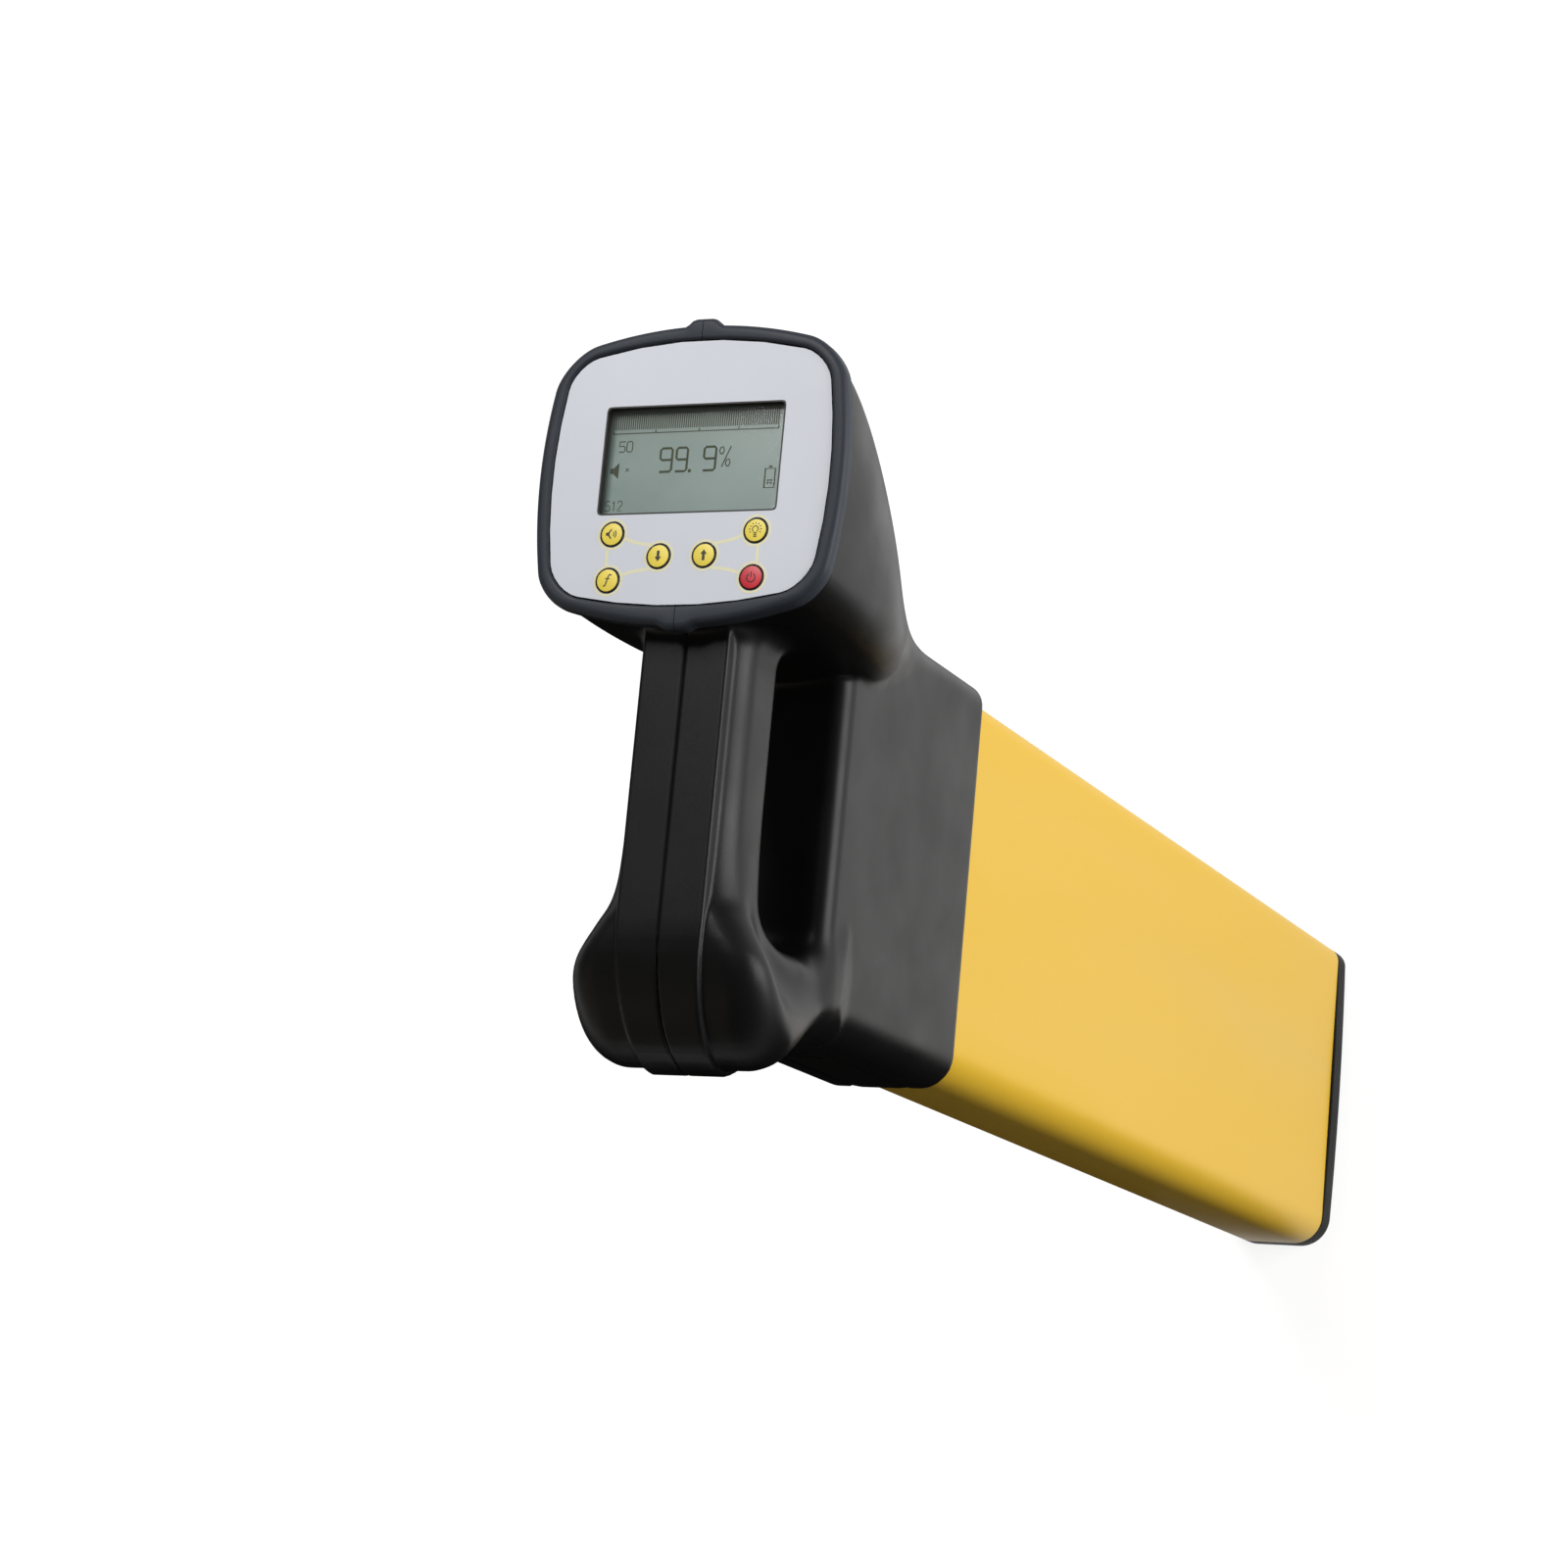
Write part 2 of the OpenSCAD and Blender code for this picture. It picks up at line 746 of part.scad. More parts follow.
module panel_gasket() {
    color("#303030")
        translate([0, 0, pocket_z])
            linear_extrude(gasket_t)
                difference() {
                    polygon(panel_outline(0));
                    polygon(panel_outline(gasket_w));
                }
}

module lcd_window() {
    color("#dfe9e6", 0.4)
        translate([0, lcd_y, window_z0])
            linear_extrude(window_t)
                square([lcd_w + 2 * window_lap, lcd_h + 2 * window_lap], center = true);
}

module glass_outline(gap) {
    translate([0, lcd_y])
        square([lcd_w + 2 * (glass_lap + gap), lcd_h + 2 * (glass_lap + gap)], center = true);
}

module lcd_glass() {
    color("#8fa396")
        translate([0, 0, lcd_z1 - glass_t])
            linear_extrude(glass_t)
                glass_outline(0);
}

module lcd_frame() {
    near = lcd_h / 2 + window_lap;
    color("#4a4d50")
        difference() {
            translate([-lcd_w / 2 - lcd_side, lcd_y - near - fit, lcd_z0])
                cube([lcd_w + 2 * lcd_side, near + fit + lcd_h / 2 + lcd_far, lcd_t]);
            translate([0, 0, lcd_z1 - glass_t])
                linear_extrude(glass_t + overrun)
                    glass_outline(fit / 2);
        }
}

module standoff_places() {
    for (side = [-1, 1], at = [near_post, far_post])
        translate([side * at[0], at[1]])
            children();
}

module main_board() {
    color("#2e6b3c") {
        translate([0, 0, board_z])
            linear_extrude(board_t)
                difference() {
                    polygon(panel_outline(board_in));
                    standoff_places()
                        circle(d = board_screw_d + 2 * fit);
                }
        for (x = [aerial_lead_x, battery_lead_x])
            translate([x - plug_w / 2, plug_y - plug_d / 2, board_z - plug_h])
                cube([plug_w, plug_d, plug_h + board_t / 2]);
    }
}

module key_switches() {
    pin_z = key_flange_z - key_travel - fit;
    color("#1a1a1a")
        for (at = key_places) {
            translate([at[0] - switch_w / 2, at[1] - switch_w / 2, lcd_z0])
                cube([switch_w, switch_w, switch_h]);
            translate([at[0], at[1], lcd_z0 + switch_h / 2])
                cylinder(d = switch_pin_d, h = pin_z - lcd_z0 - switch_h / 2);
        }
}

module board_standoffs() {
    color("#c9a54a")
        standoff_places()
            translate([0, 0, lcd_z0])
                difference() {
                    cylinder(d = standoff_d, h = panel_z - lcd_z0);
                    translate([0, 0, -overrun])
                        cylinder(d = board_screw_d + 2 * fit, h = board_screw_l + overrun);
                }
}

module board_screws() {
    color("#b8bbc0")
        standoff_places() {
            translate([0, 0, board_z - board_screw_head_t])
                cylinder(d = board_screw_head_d, h = board_screw_head_t);
            translate([0, 0, board_z - board_screw_head_t / 2])
                cylinder(d = board_screw_d, h = board_screw_l + board_screw_head_t / 2);
        }
}

module buzzer() {
    color("#161616")
        translate([0, buzzer_y, board_z - buzzer_h])
            cylinder(d = buzzer_d, h = buzzer_h);
}

// Keys

module key(at) {
    translate([at[0], at[1], key_flange_z]) {
        cylinder(d = key_d, h = key_z1 - key_flange_z);
        cylinder(d = key_d + 2 * key_flange, h = key_flange_t);
    }
}

module sound_key() {
    color("#f4dc3c")
        key(sound_at);
}

module light_key() {
    color("#f4dc3c")
        key(light_at);
}

module down_key() {
    color("#f4dc3c")
        key(down_at);
}

module up_key() {
    color("#f4dc3c")
        key(up_at);
}

module function_key() {
    color("#f4dc3c")
        key(function_at);
}

module power_key() {
    color("#d32d3c")
        key(power_at);
}

// Tube and end cap

module aerial_tube() {
    color("#e8bd4f")
        translate([0, 0, cap_t])
            linear_extrude(tube_z1 - cap_t)
                difference() {
                    tube_plan(0);
                    tube_plan(tube_wall);
                }
}

module tube_seal() {
    color("#222222")
        translate([0, 0, tube_z1])
            linear_extrude(tube_seal_t)
                difference() {
                    tube_plan(0);
                    tube_plan(tube_wall);
                }
}

module end_cap() {
    plug_z1 = cap_t + cap_plug;
    color("#1d1e20")
        difference() {
            union() {
                loft(concat(
                    [for (k = [0:edge_n])
                        let (a = 90 * k / edge_n)
                        raised(tube_outline(cap_edge * (1 - sin(a))), cap_edge * (1 - cos(a)))],
                    [raised(tube_outline(0), cap_t)]));
                translate([0, 0, cap_wall])
                    linear_extrude(plug_z1 - cap_wall)
                        tube_plan(plug_in);
            }
            translate([0, 0, cap_wall])
                linear_extrude(plug_z1)
                    tube_plan(plug_in + cap_wall);
            translate([0, 0, cap_t + cap_plug / 2])
                linear_extrude(seal_h)
                    difference() {
                        square([tube_w, tube_d], center = true);
                        tube_plan(plug_in + seal_t);
                    }
        }
}

module end_cap_seal() {
    color("#3a3a3a")
        translate([0, 0, cap_t + cap_plug / 2])
            linear_extrude(seal_h)
                difference() {
                    tube_plan(plug_in);
                    tube_plan(plug_in + seal_t);
                }
}

// Aerials

module saddles_y(z) {
    for (end = [-1, 1])
        translate([carrier_t / 2 - fit, end * (coil_l / 2 - saddle_inset) - saddle_t / 2, z - coil_d / 2])
            difference() {
                cube([coil_d / 2, saddle_t, coil_d]);
                translate([coil_x - carrier_t / 2 + fit, -overrun, coil_d / 2])
                    rotate([-90, 0, 0])
                        cylinder(d = coil_d + 2 * fit, h = saddle_t + 2 * overrun);
            }
}

module saddles_z() {
    for (end = [-1, 1])
        translate([carrier_t / 2 - fit, -coil_d / 2, null_z + end * (coil_l / 2 - saddle_inset) - saddle_t / 2])
            difference() {
                cube([coil_d / 2, coil_d, saddle_t]);
                translate([coil_x - carrier_t / 2 + fit, coil_d / 2, -overrun])
                    cylinder(d = coil_d + 2 * fit, h = saddle_t + 2 * overrun);
            }
}

module aerial_carrier() {
    color("#9c8f5a") {
        translate([-carrier_t / 2, -carrier_w / 2, cap_wall])
            cube([carrier_t, carrier_w, carrier_z1 - cap_wall]);
        saddles_y(lower_z);
        saddles_y(upper_z);
        saddles_z();
    }
}

module carrier_foam() {
    color("#5b5e63")
        for (share = foam_shares)
            translate([0, 0, carrier_z1 * share])
                linear_extrude(foam_t)
                    difference() {
                        tube_plan(plug_in);
                        square([carrier_t + 2 * fit, carrier_w + 2 * fit], center = true);
                    }
}

module rod_y(z) {
    color("#3c3a38")
        along_y(coil_x, z)
            cylinder(d = rod_d, h = rod_l, center = true);
}

module coil_shape() {
    difference() {
        cylinder(d = coil_d, h = coil_l, center = true);
        cylinder(d = rod_d + 2 * fit, h = coil_l + 2 * overrun, center = true);
    }
}

module coil_y(z) {
    color("#b5713a")
        along_y(coil_x, z)
            coil_shape();
}

module lower_ferrite() {
    rod_y(lower_z);
}

module lower_coil() {
    coil_y(lower_z);
}

module upper_ferrite() {
    rod_y(upper_z);
}

module upper_coil() {
    coil_y(upper_z);
}

module null_ferrite() {
    color("#3c3a38")
        translate([coil_x, 0, null_z])
            cylinder(d = rod_d, h = rod_l, center = true);
}

module null_coil() {
    color("#b5713a")
        translate([coil_x, 0, null_z])
            coil_shape();
}

module preamp_board() {
    x = -carrier_t / 2 - preamp_t;
    color("#2e6b3c") {
        translate([x, -preamp_w / 2, carrier_z1 - preamp_h])
            cube([preamp_t, preamp_w, preamp_h]);
        for (side = [-1, 1])
            translate([x - chip_t, side * preamp_w * chip_shares[1] - preamp_w * chip_shares[0] / 2,
                carrier_z1 - preamp_h * (1 + chip_shares[0]) / 2])
                cube([chip_t + preamp_t / 2, preamp_w * chip_shares[0], preamp_h * chip_shares[0]]);
    }
}

// A round lead in a plane across the seam, along points of that plane
module lead(x, path) {
    last = len(path) - 1;
    loft([for (i = [0:last])
        let (run = path[min(i + 1, last)] - path[max(i - 1, 0)], dir = run / norm(run))
        [for (k = [0:lead_n - 1])
            let (a = 360 * k / lead_n, side = lead_d / 2 * sin(a))
            [x + lead_d / 2 * cos(a), path[i][0] + side * dir[1], path[i][1] - side * dir[0]]]]);
}

module aerial_lead() {
    color("#202020")
        lead(aerial_lead_x, [
            [preamp_w / 2, carrier_z1 - preamp_h / 2],
            [preamp_w / 2, carrier_z1],
            [neck_y - lead_d, shelf_z + lead_d],
            [neck_y + lead_d, hood_z0],
            [neck_path_y, hood_z0 + neck_d],
            [neck_path_y, collar_top],
            [plug_y, board_z - plug_h - 2 * plug_w],
            [plug_y, board_z - plug_h]]);
}

module battery_lead() {
    color("#7c1f1f")
        lead(battery_lead_x, [
            [tray_y + tray_l - lead_d, tray_z + tray_h / 2],
            [neck_path_y, battery_lead_z],
            [neck_path_y, hood_z0 + neck_d],
            [neck_path_y, collar_top],
            [plug_y, board_z - plug_h - 2 * plug_w],
            [plug_y, board_z - plug_h]]);
}

// Battery

module battery_door() {
    color("#26282b")
        difference() {
            translate([0, 0, collar_z])
                linear_extrude(door_l)
                    intersection() {
                        polygon(collar_outline(0));
                        door_outline(0);
                    }
            for (k = [0:thumb_n - 1])
                translate([-door_w / 4, collar_rear - overrun, collar_z + door_l - (2 * k + 3) * 2 * thumb_h])
                    cube([door_w / 2, thumb_t + overrun, thumb_h]);
        }
}

module battery_tray() {
    color("#2f3236")
        translate([-tray_w / 2, tray_y, tray_z])
            difference() {
                cube([tray_w, tray_l, tray_h]);
                translate([-overrun, tray_wall, tray_wall])
                    cube([tray_w - tray_wall + overrun, tray_l - 2 * tray_wall, tray_h - 2 * tray_wall]);
            }
}

module cell_places() {
    for (k = [0:cell_n - 1])
        translate([-tray_wall / 2, tray_y + tray_wall + (k + 0.5) * cell_pitch, tray_z + tray_wall + contact_t])
            children();
}

module battery_cells() {
    color("#b08d3a")
        cell_places() {
            cylinder(d = cell_d, h = cell_l - cell_nub_h);
            cylinder(d = cell_d * cell_nub_d_share, h = cell_l);
        }
}

module battery_contacts() {
    w = cell_d * contact_w_share;
    color("#d0d2d6")
        cell_places()
            for (z = [-contact_t, cell_l])
                translate([-w / 2, -w / 2, z])
                    cube([w, w, contact_t]);
}

module housing_screws() {
    color("#b8bbc0")
        for (at = boss_at)
            along_x(at[0], at[1]) {
                translate([0, 0, head_x - screw_head_t])
                    cylinder(d = screw_head_d, h = screw_head_t);
                translate([0, 0, head_x - screw_head_t / 2])
                    cylinder(d = screw_d, h = screw_l + screw_head_t / 2);
            }
}

housing_left();
housing_right();
front_panel();
panel_overlay();
panel_gasket();
lcd_window();
lcd_glass();
lcd_frame();
main_board();
key_switches();
board_standoffs();
board_screws();
buzzer();
sound_key();
light_key();
down_key();
up_key();
function_key();
power_key();
aerial_tube();
tube_seal();
end_cap();
end_cap_seal();
aerial_carrier();
carrier_foam();
lower_ferrite();
lower_coil();
upper_ferrite();
upper_coil();
null_ferrite();
null_coil();
preamp_board();
aerial_lead();
battery_lead();
battery_door();
battery_tray();
battery_cells();
battery_contacts();
housing_screws();
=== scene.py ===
"""Looks of the cable locator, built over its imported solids.

Sizes are in millimetres unless a comment says otherwise.
"""
import math

import bpy
import numpy as np
from mathutils import Matrix, Vector


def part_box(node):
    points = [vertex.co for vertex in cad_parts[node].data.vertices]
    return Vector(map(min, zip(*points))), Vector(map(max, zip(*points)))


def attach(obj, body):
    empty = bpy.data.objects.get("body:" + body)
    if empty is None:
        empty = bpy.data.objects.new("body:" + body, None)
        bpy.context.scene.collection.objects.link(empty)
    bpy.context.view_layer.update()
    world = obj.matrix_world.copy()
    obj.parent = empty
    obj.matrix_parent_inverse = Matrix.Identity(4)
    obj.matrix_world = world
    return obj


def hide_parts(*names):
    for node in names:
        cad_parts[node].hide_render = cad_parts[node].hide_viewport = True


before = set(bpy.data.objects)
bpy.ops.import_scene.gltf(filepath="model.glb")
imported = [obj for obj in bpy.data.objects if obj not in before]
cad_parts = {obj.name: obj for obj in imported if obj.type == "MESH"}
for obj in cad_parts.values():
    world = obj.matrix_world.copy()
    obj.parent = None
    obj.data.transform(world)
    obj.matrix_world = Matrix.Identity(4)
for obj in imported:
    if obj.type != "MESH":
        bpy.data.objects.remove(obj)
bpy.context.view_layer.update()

MM = 0.001


def corners(*nodes):
    """Lowest and highest corner of these CAD nodes."""
    boxes = [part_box(node) for node in nodes]
    low = np.min([np.array(box[0]) for box in boxes], axis=0)
    high = np.max([np.array(box[1]) for box in boxes], axis=0)
    return low / MM, high / MM


# Camera: place, aim, roll in degrees, and lens on a square sensor
EYE = (513.7, -247.5, 1706.1)
AIM = (-112.8, 68.8, 330.0)
ROLL = -5.33
LENS = 90.95
SENSOR = 36.0

# Places that the solids give
TUBE_LOW, TUBE_HIGH = corners("aerial_tube")
CAP_HIGH = corners("end_cap")[1]
HOUSING_LOW, HOUSING_HIGH = corners("housing_left", "housing_right")
DOOR_LOW, DOOR_HIGH = corners("battery_door")
TRAY_LOW, TRAY_HIGH = corners("battery_tray")
OVERLAY_HIGH = corners("panel_overlay")[1]
PANEL_LOW = corners("front_panel")[0]
GLASS_LOW, GLASS_HIGH = corners("lcd_glass")
WINDOW_HIGH = corners("lcd_window")[1]

# Tube and end cap
TUBE_R_REAR = 12.5
TUBE_R_FRONT = 6.5
TUBE_WALL = 2.5
CAP_T = 13.0
CAP_EDGE = 2.5
CAP_WALL = 3.0
CAP_LIP = 0.5
CAP_BOW = 1.3
FIT = 0.1
TUBE_RUN = 8.0

# Collar
WALL = 3.2
HOOD_WALL = 2.0
COLLAR_STEP = 3.8
COLLAR_R_FRONT = 8.5
COLLAR_R_REAR = 11.5
COLLAR_EDGE = 6.2
COLLAR_HW = TUBE_HIGH[0] + COLLAR_STEP
COLLAR_END = TUBE_HIGH[1] + COLLAR_STEP
COLLAR_Z = HOUSING_LOW[2]
COLLAR_TOP = COLLAR_Z + 116.0
SHELF_LOW = TUBE_HIGH[2] + 1.0
SHELF_HIGH = TRAY_LOW[2]

# Head
HEAD_Z = HOUSING_HIGH[2]
RIM_HW = HOUSING_HIGH[0]
BUMP_FAR = 2.2
BUMP_NEAR = 1.4
RIM_Y1 = HOUSING_HIGH[1] - BUMP_FAR
RIM_Y0 = RIM_Y1 - 95.1
RIM_Z = HEAD_Z - 5.6
RIM_EDGE = 2.2
RIM_INNER_EDGE = 0.9
RIM_BACK = 0.8
RIM_R_NEAR = 8.6
RIM_R_FAR = 11.3
BUMP_HW = 6.5
BUMP_FLAT = 3.0
NECK_Y = COLLAR_END - 30.9
NECK_R = 9.0
HOOD_Z0 = COLLAR_TOP - 45.0
HOOD_Z1 = RIM_Z - 1.0
HOOD_SET = 1.4
HOOD_CUT = 30.0
HOOD_TUCK = 1.4
HOOD_ROUND = 10.6
HOOD_ROUND_POWER = 0.75
HOOD_NEAR_ROUND = 9.0
HOOD_FADE = 0.5
HOOD_LEAN = 4.0
HOOD_NEAR_POWER = 2.8
HOOD_FAR_POWER = 1.26
HOOD_BACK_POWER = 1.5
GROOVE_T = 1.0

# Bulge of an outline's sides, far edge and near edge
STRAIGHT = (0.0, 0.0, 0.0)
RIM_BOW = (4.6, 8.2, 8.7)
PANEL_BOW = (3.91, 6.23, 5.13)
NECK_BOW = 6.5

# Panel pocket
PANEL_GAP = 0.4
PANEL_R_NEAR = 8.7
PANEL_R_FAR = 7.9
PANEL_HW = RIM_HW - 5.1
PANEL_Y0 = RIM_Y0 + 6.3
PANEL_Y1 = RIM_Y1 - 5.1
GASKET_W = 1.6
POCKET_Z = PANEL_LOW[2] - 1.0
LEDGE_Z = POCKET_Z - 2.5

# Grip and bridge
HAND_Y0 = NECK_Y - 88.0
HAND_R = 12.0
GRIP_IN = COLLAR_TOP + 34.0
GRIP_TOP = GRIP_IN + 31.0
GRIP_HW = 19.0
GRIP_ROOT = 18.0
GRIP_R = 11.0
GRIP_IN_R = 9.0
BRIDGE_T = 40.0
BRIDGE_HW = 35.0
SHOULDER_HW = 26.5
BRIDGE_R = 16.0
BRIDGE_IN_R = 8.0
BEND_H = 29.0
BEND_Z = GRIP_TOP - BEND_H
FLARE_LEAD = 9.0
FLARE_RUN = 24.0
STEM_POWER = 1.3
STEM_FOOT = DOOR_HIGH[2] + 9.0
STEM_TUCK = 1.6
STEM_SIDE_TUCK = 0.4
STEM_DEPTH = 16.0
BAND_HW = 14.5
BAND_LOW_HW = 12.5
BAND_H = 1.88
BAND_R = 1.0
BAND_ROOT = 6.0

# Seam between the halves, and the blends where the housing's forms meet
SEAM = 0.2
SEAM_HW = 0.8
SEAM_DEPTH = 0.35
HOOD_BLEND = 2.5
SHOULDER_BLEND = 16.0
SHOULDER_Y = 52.0
SHOULDER_RUN = 16.0
GRIP_BLEND = 7.0
STEM_BLEND = 8.0
EDGE_BLEND = 0.8
MOST_ROUND = 0.9

# Screw wells
BOSS_R = 4.6
WELL_R = 3.0
SCREW_R = 1.7
HEAD_X = -8.8


def srgb(red, green, blue):
    """A linear colour from display values of 0 to 255."""
    shares = (red / 255, green / 255, blue / 255)
    linear = [c / 12.92 if c <= 0.04045 else ((c + 0.055) / 1.055) ** 2.4 for c in shares]
    return (*linear, 1.0)


def shade(colour, factor):
    return (*[min(1.0, c * factor) for c in colour[:3]], 1.0)


# Materials

def new_material(name):
    mat = bpy.data.materials.new(name)
    mat.use_nodes = True
    return mat, mat.node_tree, mat.node_tree.nodes["Principled BSDF"]


def noise(tree, scale, detail=3.0, stretch=(1.0, 1.0, 1.0)):
    """A noise value over the object's own metres, stretched along its axes."""
    place = tree.nodes.new("ShaderNodeTexCoord")
    mapping = tree.nodes.new("ShaderNodeMapping")
    mapping.inputs["Scale"].default_value = stretch
    texture = tree.nodes.new("ShaderNodeTexNoise")
    texture.inputs["Scale"].default_value = scale
    texture.inputs["Detail"].default_value = detail
    tree.links.new(place.outputs["Object"], mapping.inputs["Vector"])
    tree.links.new(mapping.outputs["Vector"], texture.inputs["Vector"])
    return texture.outputs["Fac"]


def spread(tree, value, low, high, from_low=0.3, from_high=0.7):
    """Maps a value from its usual range to another."""
    node = tree.nodes.new("ShaderNodeMapRange")
    node.inputs["From Min"].default_value = from_low
    node.inputs["From Max"].default_value = from_high
    node.inputs["To Min"].default_value = low
    node.inputs["To Max"].default_value = high
    tree.links.new(value, node.inputs["Value"])
    return node.outputs["Result"]


def mix_colours(tree, value, first, second):
    """A colour between two, each a colour or another node's output."""
    node = tree.nodes.new("ShaderNodeMix")
    node.data_type = "RGBA"
    tree.links.new(value, node.inputs["Factor"])
    for socket, colour in ((node.inputs[6], first), (node.inputs[7], second)):
        if isinstance(colour, tuple):
            socket.default_value = colour
        else:
            tree.links.new(colour, socket)
    return node.outputs[2]


def bump(tree, shader, value, depth, strength=1.0):
    """Roughens the surface by a height in metres."""
    node = tree.nodes.new("ShaderNodeBump")
    node.inputs["Strength"].default_value = strength
    node.inputs["Distance"].default_value = depth
    tree.links.new(value, node.inputs["Height"])
    tree.links.new(node.outputs["Normal"], shader.inputs["Normal"])


def moulded(name, colour, rough, tone=0.08, tone_scale=18.0, grain=1500.0, depth=0.00003,
            stretch=(1.0, 1.0, 1.0), rough_spread=0.05, **sockets):
    """A plastic, paint or metal whose colour drifts a little and whose gloss is broken by a fine grain."""
    mat, tree, shader = new_material(name)
    drift = spread(tree, noise(tree, tone_scale, stretch=stretch), 0.0, 1.0)
    colours = mix_colours(tree, drift, shade(colour, 1 - tone), shade(colour, 1 + tone))
    tree.links.new(colours, shader.inputs["Base Color"])
    fine = noise(tree, grain, detail=2.0)
    patches = spread(tree, noise(tree, tone_scale * 2.3, stretch=stretch),
                     rough - rough_spread, rough + rough_spread)
    tree.links.new(patches, shader.inputs["Roughness"])
    bump(tree, shader, fine, depth)
    for socket, value in sockets.items():
        shader.inputs[socket.replace("_", " ")].default_value = value
    return mat


def display_material(name, colour, dark):
    """The display's glass: grey-green, with painted shade that darkens it towards its far edge, and faint
    clouds.
    """
    mat, tree, shader = new_material(name)
    place = tree.nodes.new("ShaderNodeTexCoord")
    parts = tree.nodes.new("ShaderNodeSeparateXYZ")
    tree.links.new(place.outputs["Object"], parts.inputs["Vector"])
    rise = spread(tree, parts.outputs["Y"], 0.0, 1.0, GLASS_LOW[1] * MM, GLASS_HIGH[1] * MM)
    # Painted shade: the glass turns towards the dark colour near its far edge.
    far_shade = tree.nodes.new("ShaderNodeMath")
    far_shade.operation = "POWER"
    far_shade.inputs[1].default_value = 5.0
    tree.links.new(rise, far_shade.inputs[0])
    cloud = mix_colours(tree, spread(tree, noise(tree, 45.0), 0.0, 1.0),
                        shade(colour, 0.93), shade(colour, 1.06))
    tree.links.new(mix_colours(tree, far_shade.outputs["Value"], cloud, dark), shader.inputs["Base Color"])
    tree.links.new(spread(tree, noise(tree, 300.0), 0.16, 0.26), shader.inputs["Roughness"])
    return mat


def window_material(name):
    """A clear window: nearly see-through, with its own gloss."""
    mat, tree, shader = new_material(name)
    shader.inputs["Base Color"].default_value = srgb(226, 236, 230)
    shader.inputs["Alpha"].default_value = 0.04
    tree.links.new(spread(tree, noise(tree, 120.0), 0.05, 0.12), shader.inputs["Roughness"])
    return mat


BLACK = moulded("housing_black", srgb(17, 17, 17), 0.38, tone=0.12, grain=2600.0, depth=0.00003,
                Specular_IOR_Level=0.22)
RIM_BLACK = moulded("rim_black", srgb(50, 54, 61), 0.46, tone=0.10, grain=2600.0, depth=0.00004,
                    Specular_IOR_Level=0.2)
CAP_BLACK = moulded("cap_black", srgb(26, 25, 25), 0.5, tone=0.10, grain=2200.0, depth=0.00004,
                    Specular_IOR_Level=0.04)
YELLOW = moulded("tube_yellow", srgb(231, 186, 50), 0.42, tone=0.035, tone_scale=9.0, grain=900.0,
                 depth=0.00002, stretch=(1.0, 1.0, 0.12), Specular_IOR_Level=0.3)
PANEL_GREY = moulded("panel_grey", srgb(214, 217, 225), 0.42, tone=0.015, grain=3200.0, depth=0.00002)
# Painted shade: the front panel is nearly black so that the walls of the display opening below the overlay
# look shaded.
PANEL_SHADE = moulded("panel_painted_shade", srgb(24, 25, 27), 0.5, grain=2000.0)
PRINT_YELLOW = moulded("print_yellow", srgb(233, 228, 190), 0.42, tone=0.03, grain=3200.0, depth=0.00002)
KEY_YELLOW = moulded("key_yellow", srgb(246, 222, 80), 0.38, tone=0.06, tone_scale=160.0, grain=3000.0,
                     depth=0.00001)
KEY_RED = moulded("key_red", srgb(214, 38, 52), 0.36, tone=0.08, tone_scale=160.0, grain=3000.0,
                  depth=0.00001)
INK = moulded("ink_dark", srgb(38, 36, 30), 0.5, tone=0.1, grain=3000.0)
INK_RED = moulded("ink_red", srgb(66, 8, 14), 0.5, tone=0.1, grain=3000.0)
# The second colour is painted shade at the display's far edge.
LCD = display_material("lcd_green", srgb(126, 145, 139), srgb(84, 88, 74))
LCD_INK = moulded("lcd_ink", srgb(46, 53, 20), 0.6, tone=0.12, tone_scale=300.0, Specular_IOR_Level=0.1)
LCD_FAINT = moulded("lcd_ink_faint", srgb(54, 61, 44), 0.6, tone=0.1, tone_scale=300.0,
                    Specular_IOR_Level=0.1)
WINDOW = window_material("window_clear")
DARK = moulded("dark_plastic", srgb(34, 35, 37), 0.5)
BOARD = moulded("board_green", srgb(30, 92, 52), 0.4, tone=0.2, tone_scale=240.0)
SEAL = moulded("seal_rubber", srgb(24, 24, 25), 0.7)
FOAM = moulded("foam_grey", srgb(86, 88, 92), 0.9, tone=0.25, tone_scale=700.0, depth=0.0002)
CARRIER = moulded("carrier_tan", srgb(196, 168, 120), 0.55, tone=0.1, tone_scale=90.0)
FERRITE = moulded("ferrite_grey", srgb(62, 62, 66), 0.55, tone=0.15, tone_scale=400.0)
COPPER = moulded("coil_copper", srgb(190, 108, 62), 0.32, tone=0.2, tone_scale=60.0,
                 stretch=(30.0, 1.0, 1.0), Metallic=1.0)
BRASS = moulded("standoff_brass", srgb(201, 165, 84), 0.3, Metallic=1.0)
STEEL = moulded("screw_steel", srgb(176, 180, 186), 0.34, tone=0.1, tone_scale=400.0, Metallic=1.0)
LEAD_BLACK = moulded("lead_black", srgb(30, 30, 32), 0.5)
LEAD_RED = moulded("lead_red", srgb(140, 34, 34), 0.5)
CELL = moulded("cell_jacket", srgb(52, 92, 128), 0.35, tone=0.08, tone_scale=60.0)

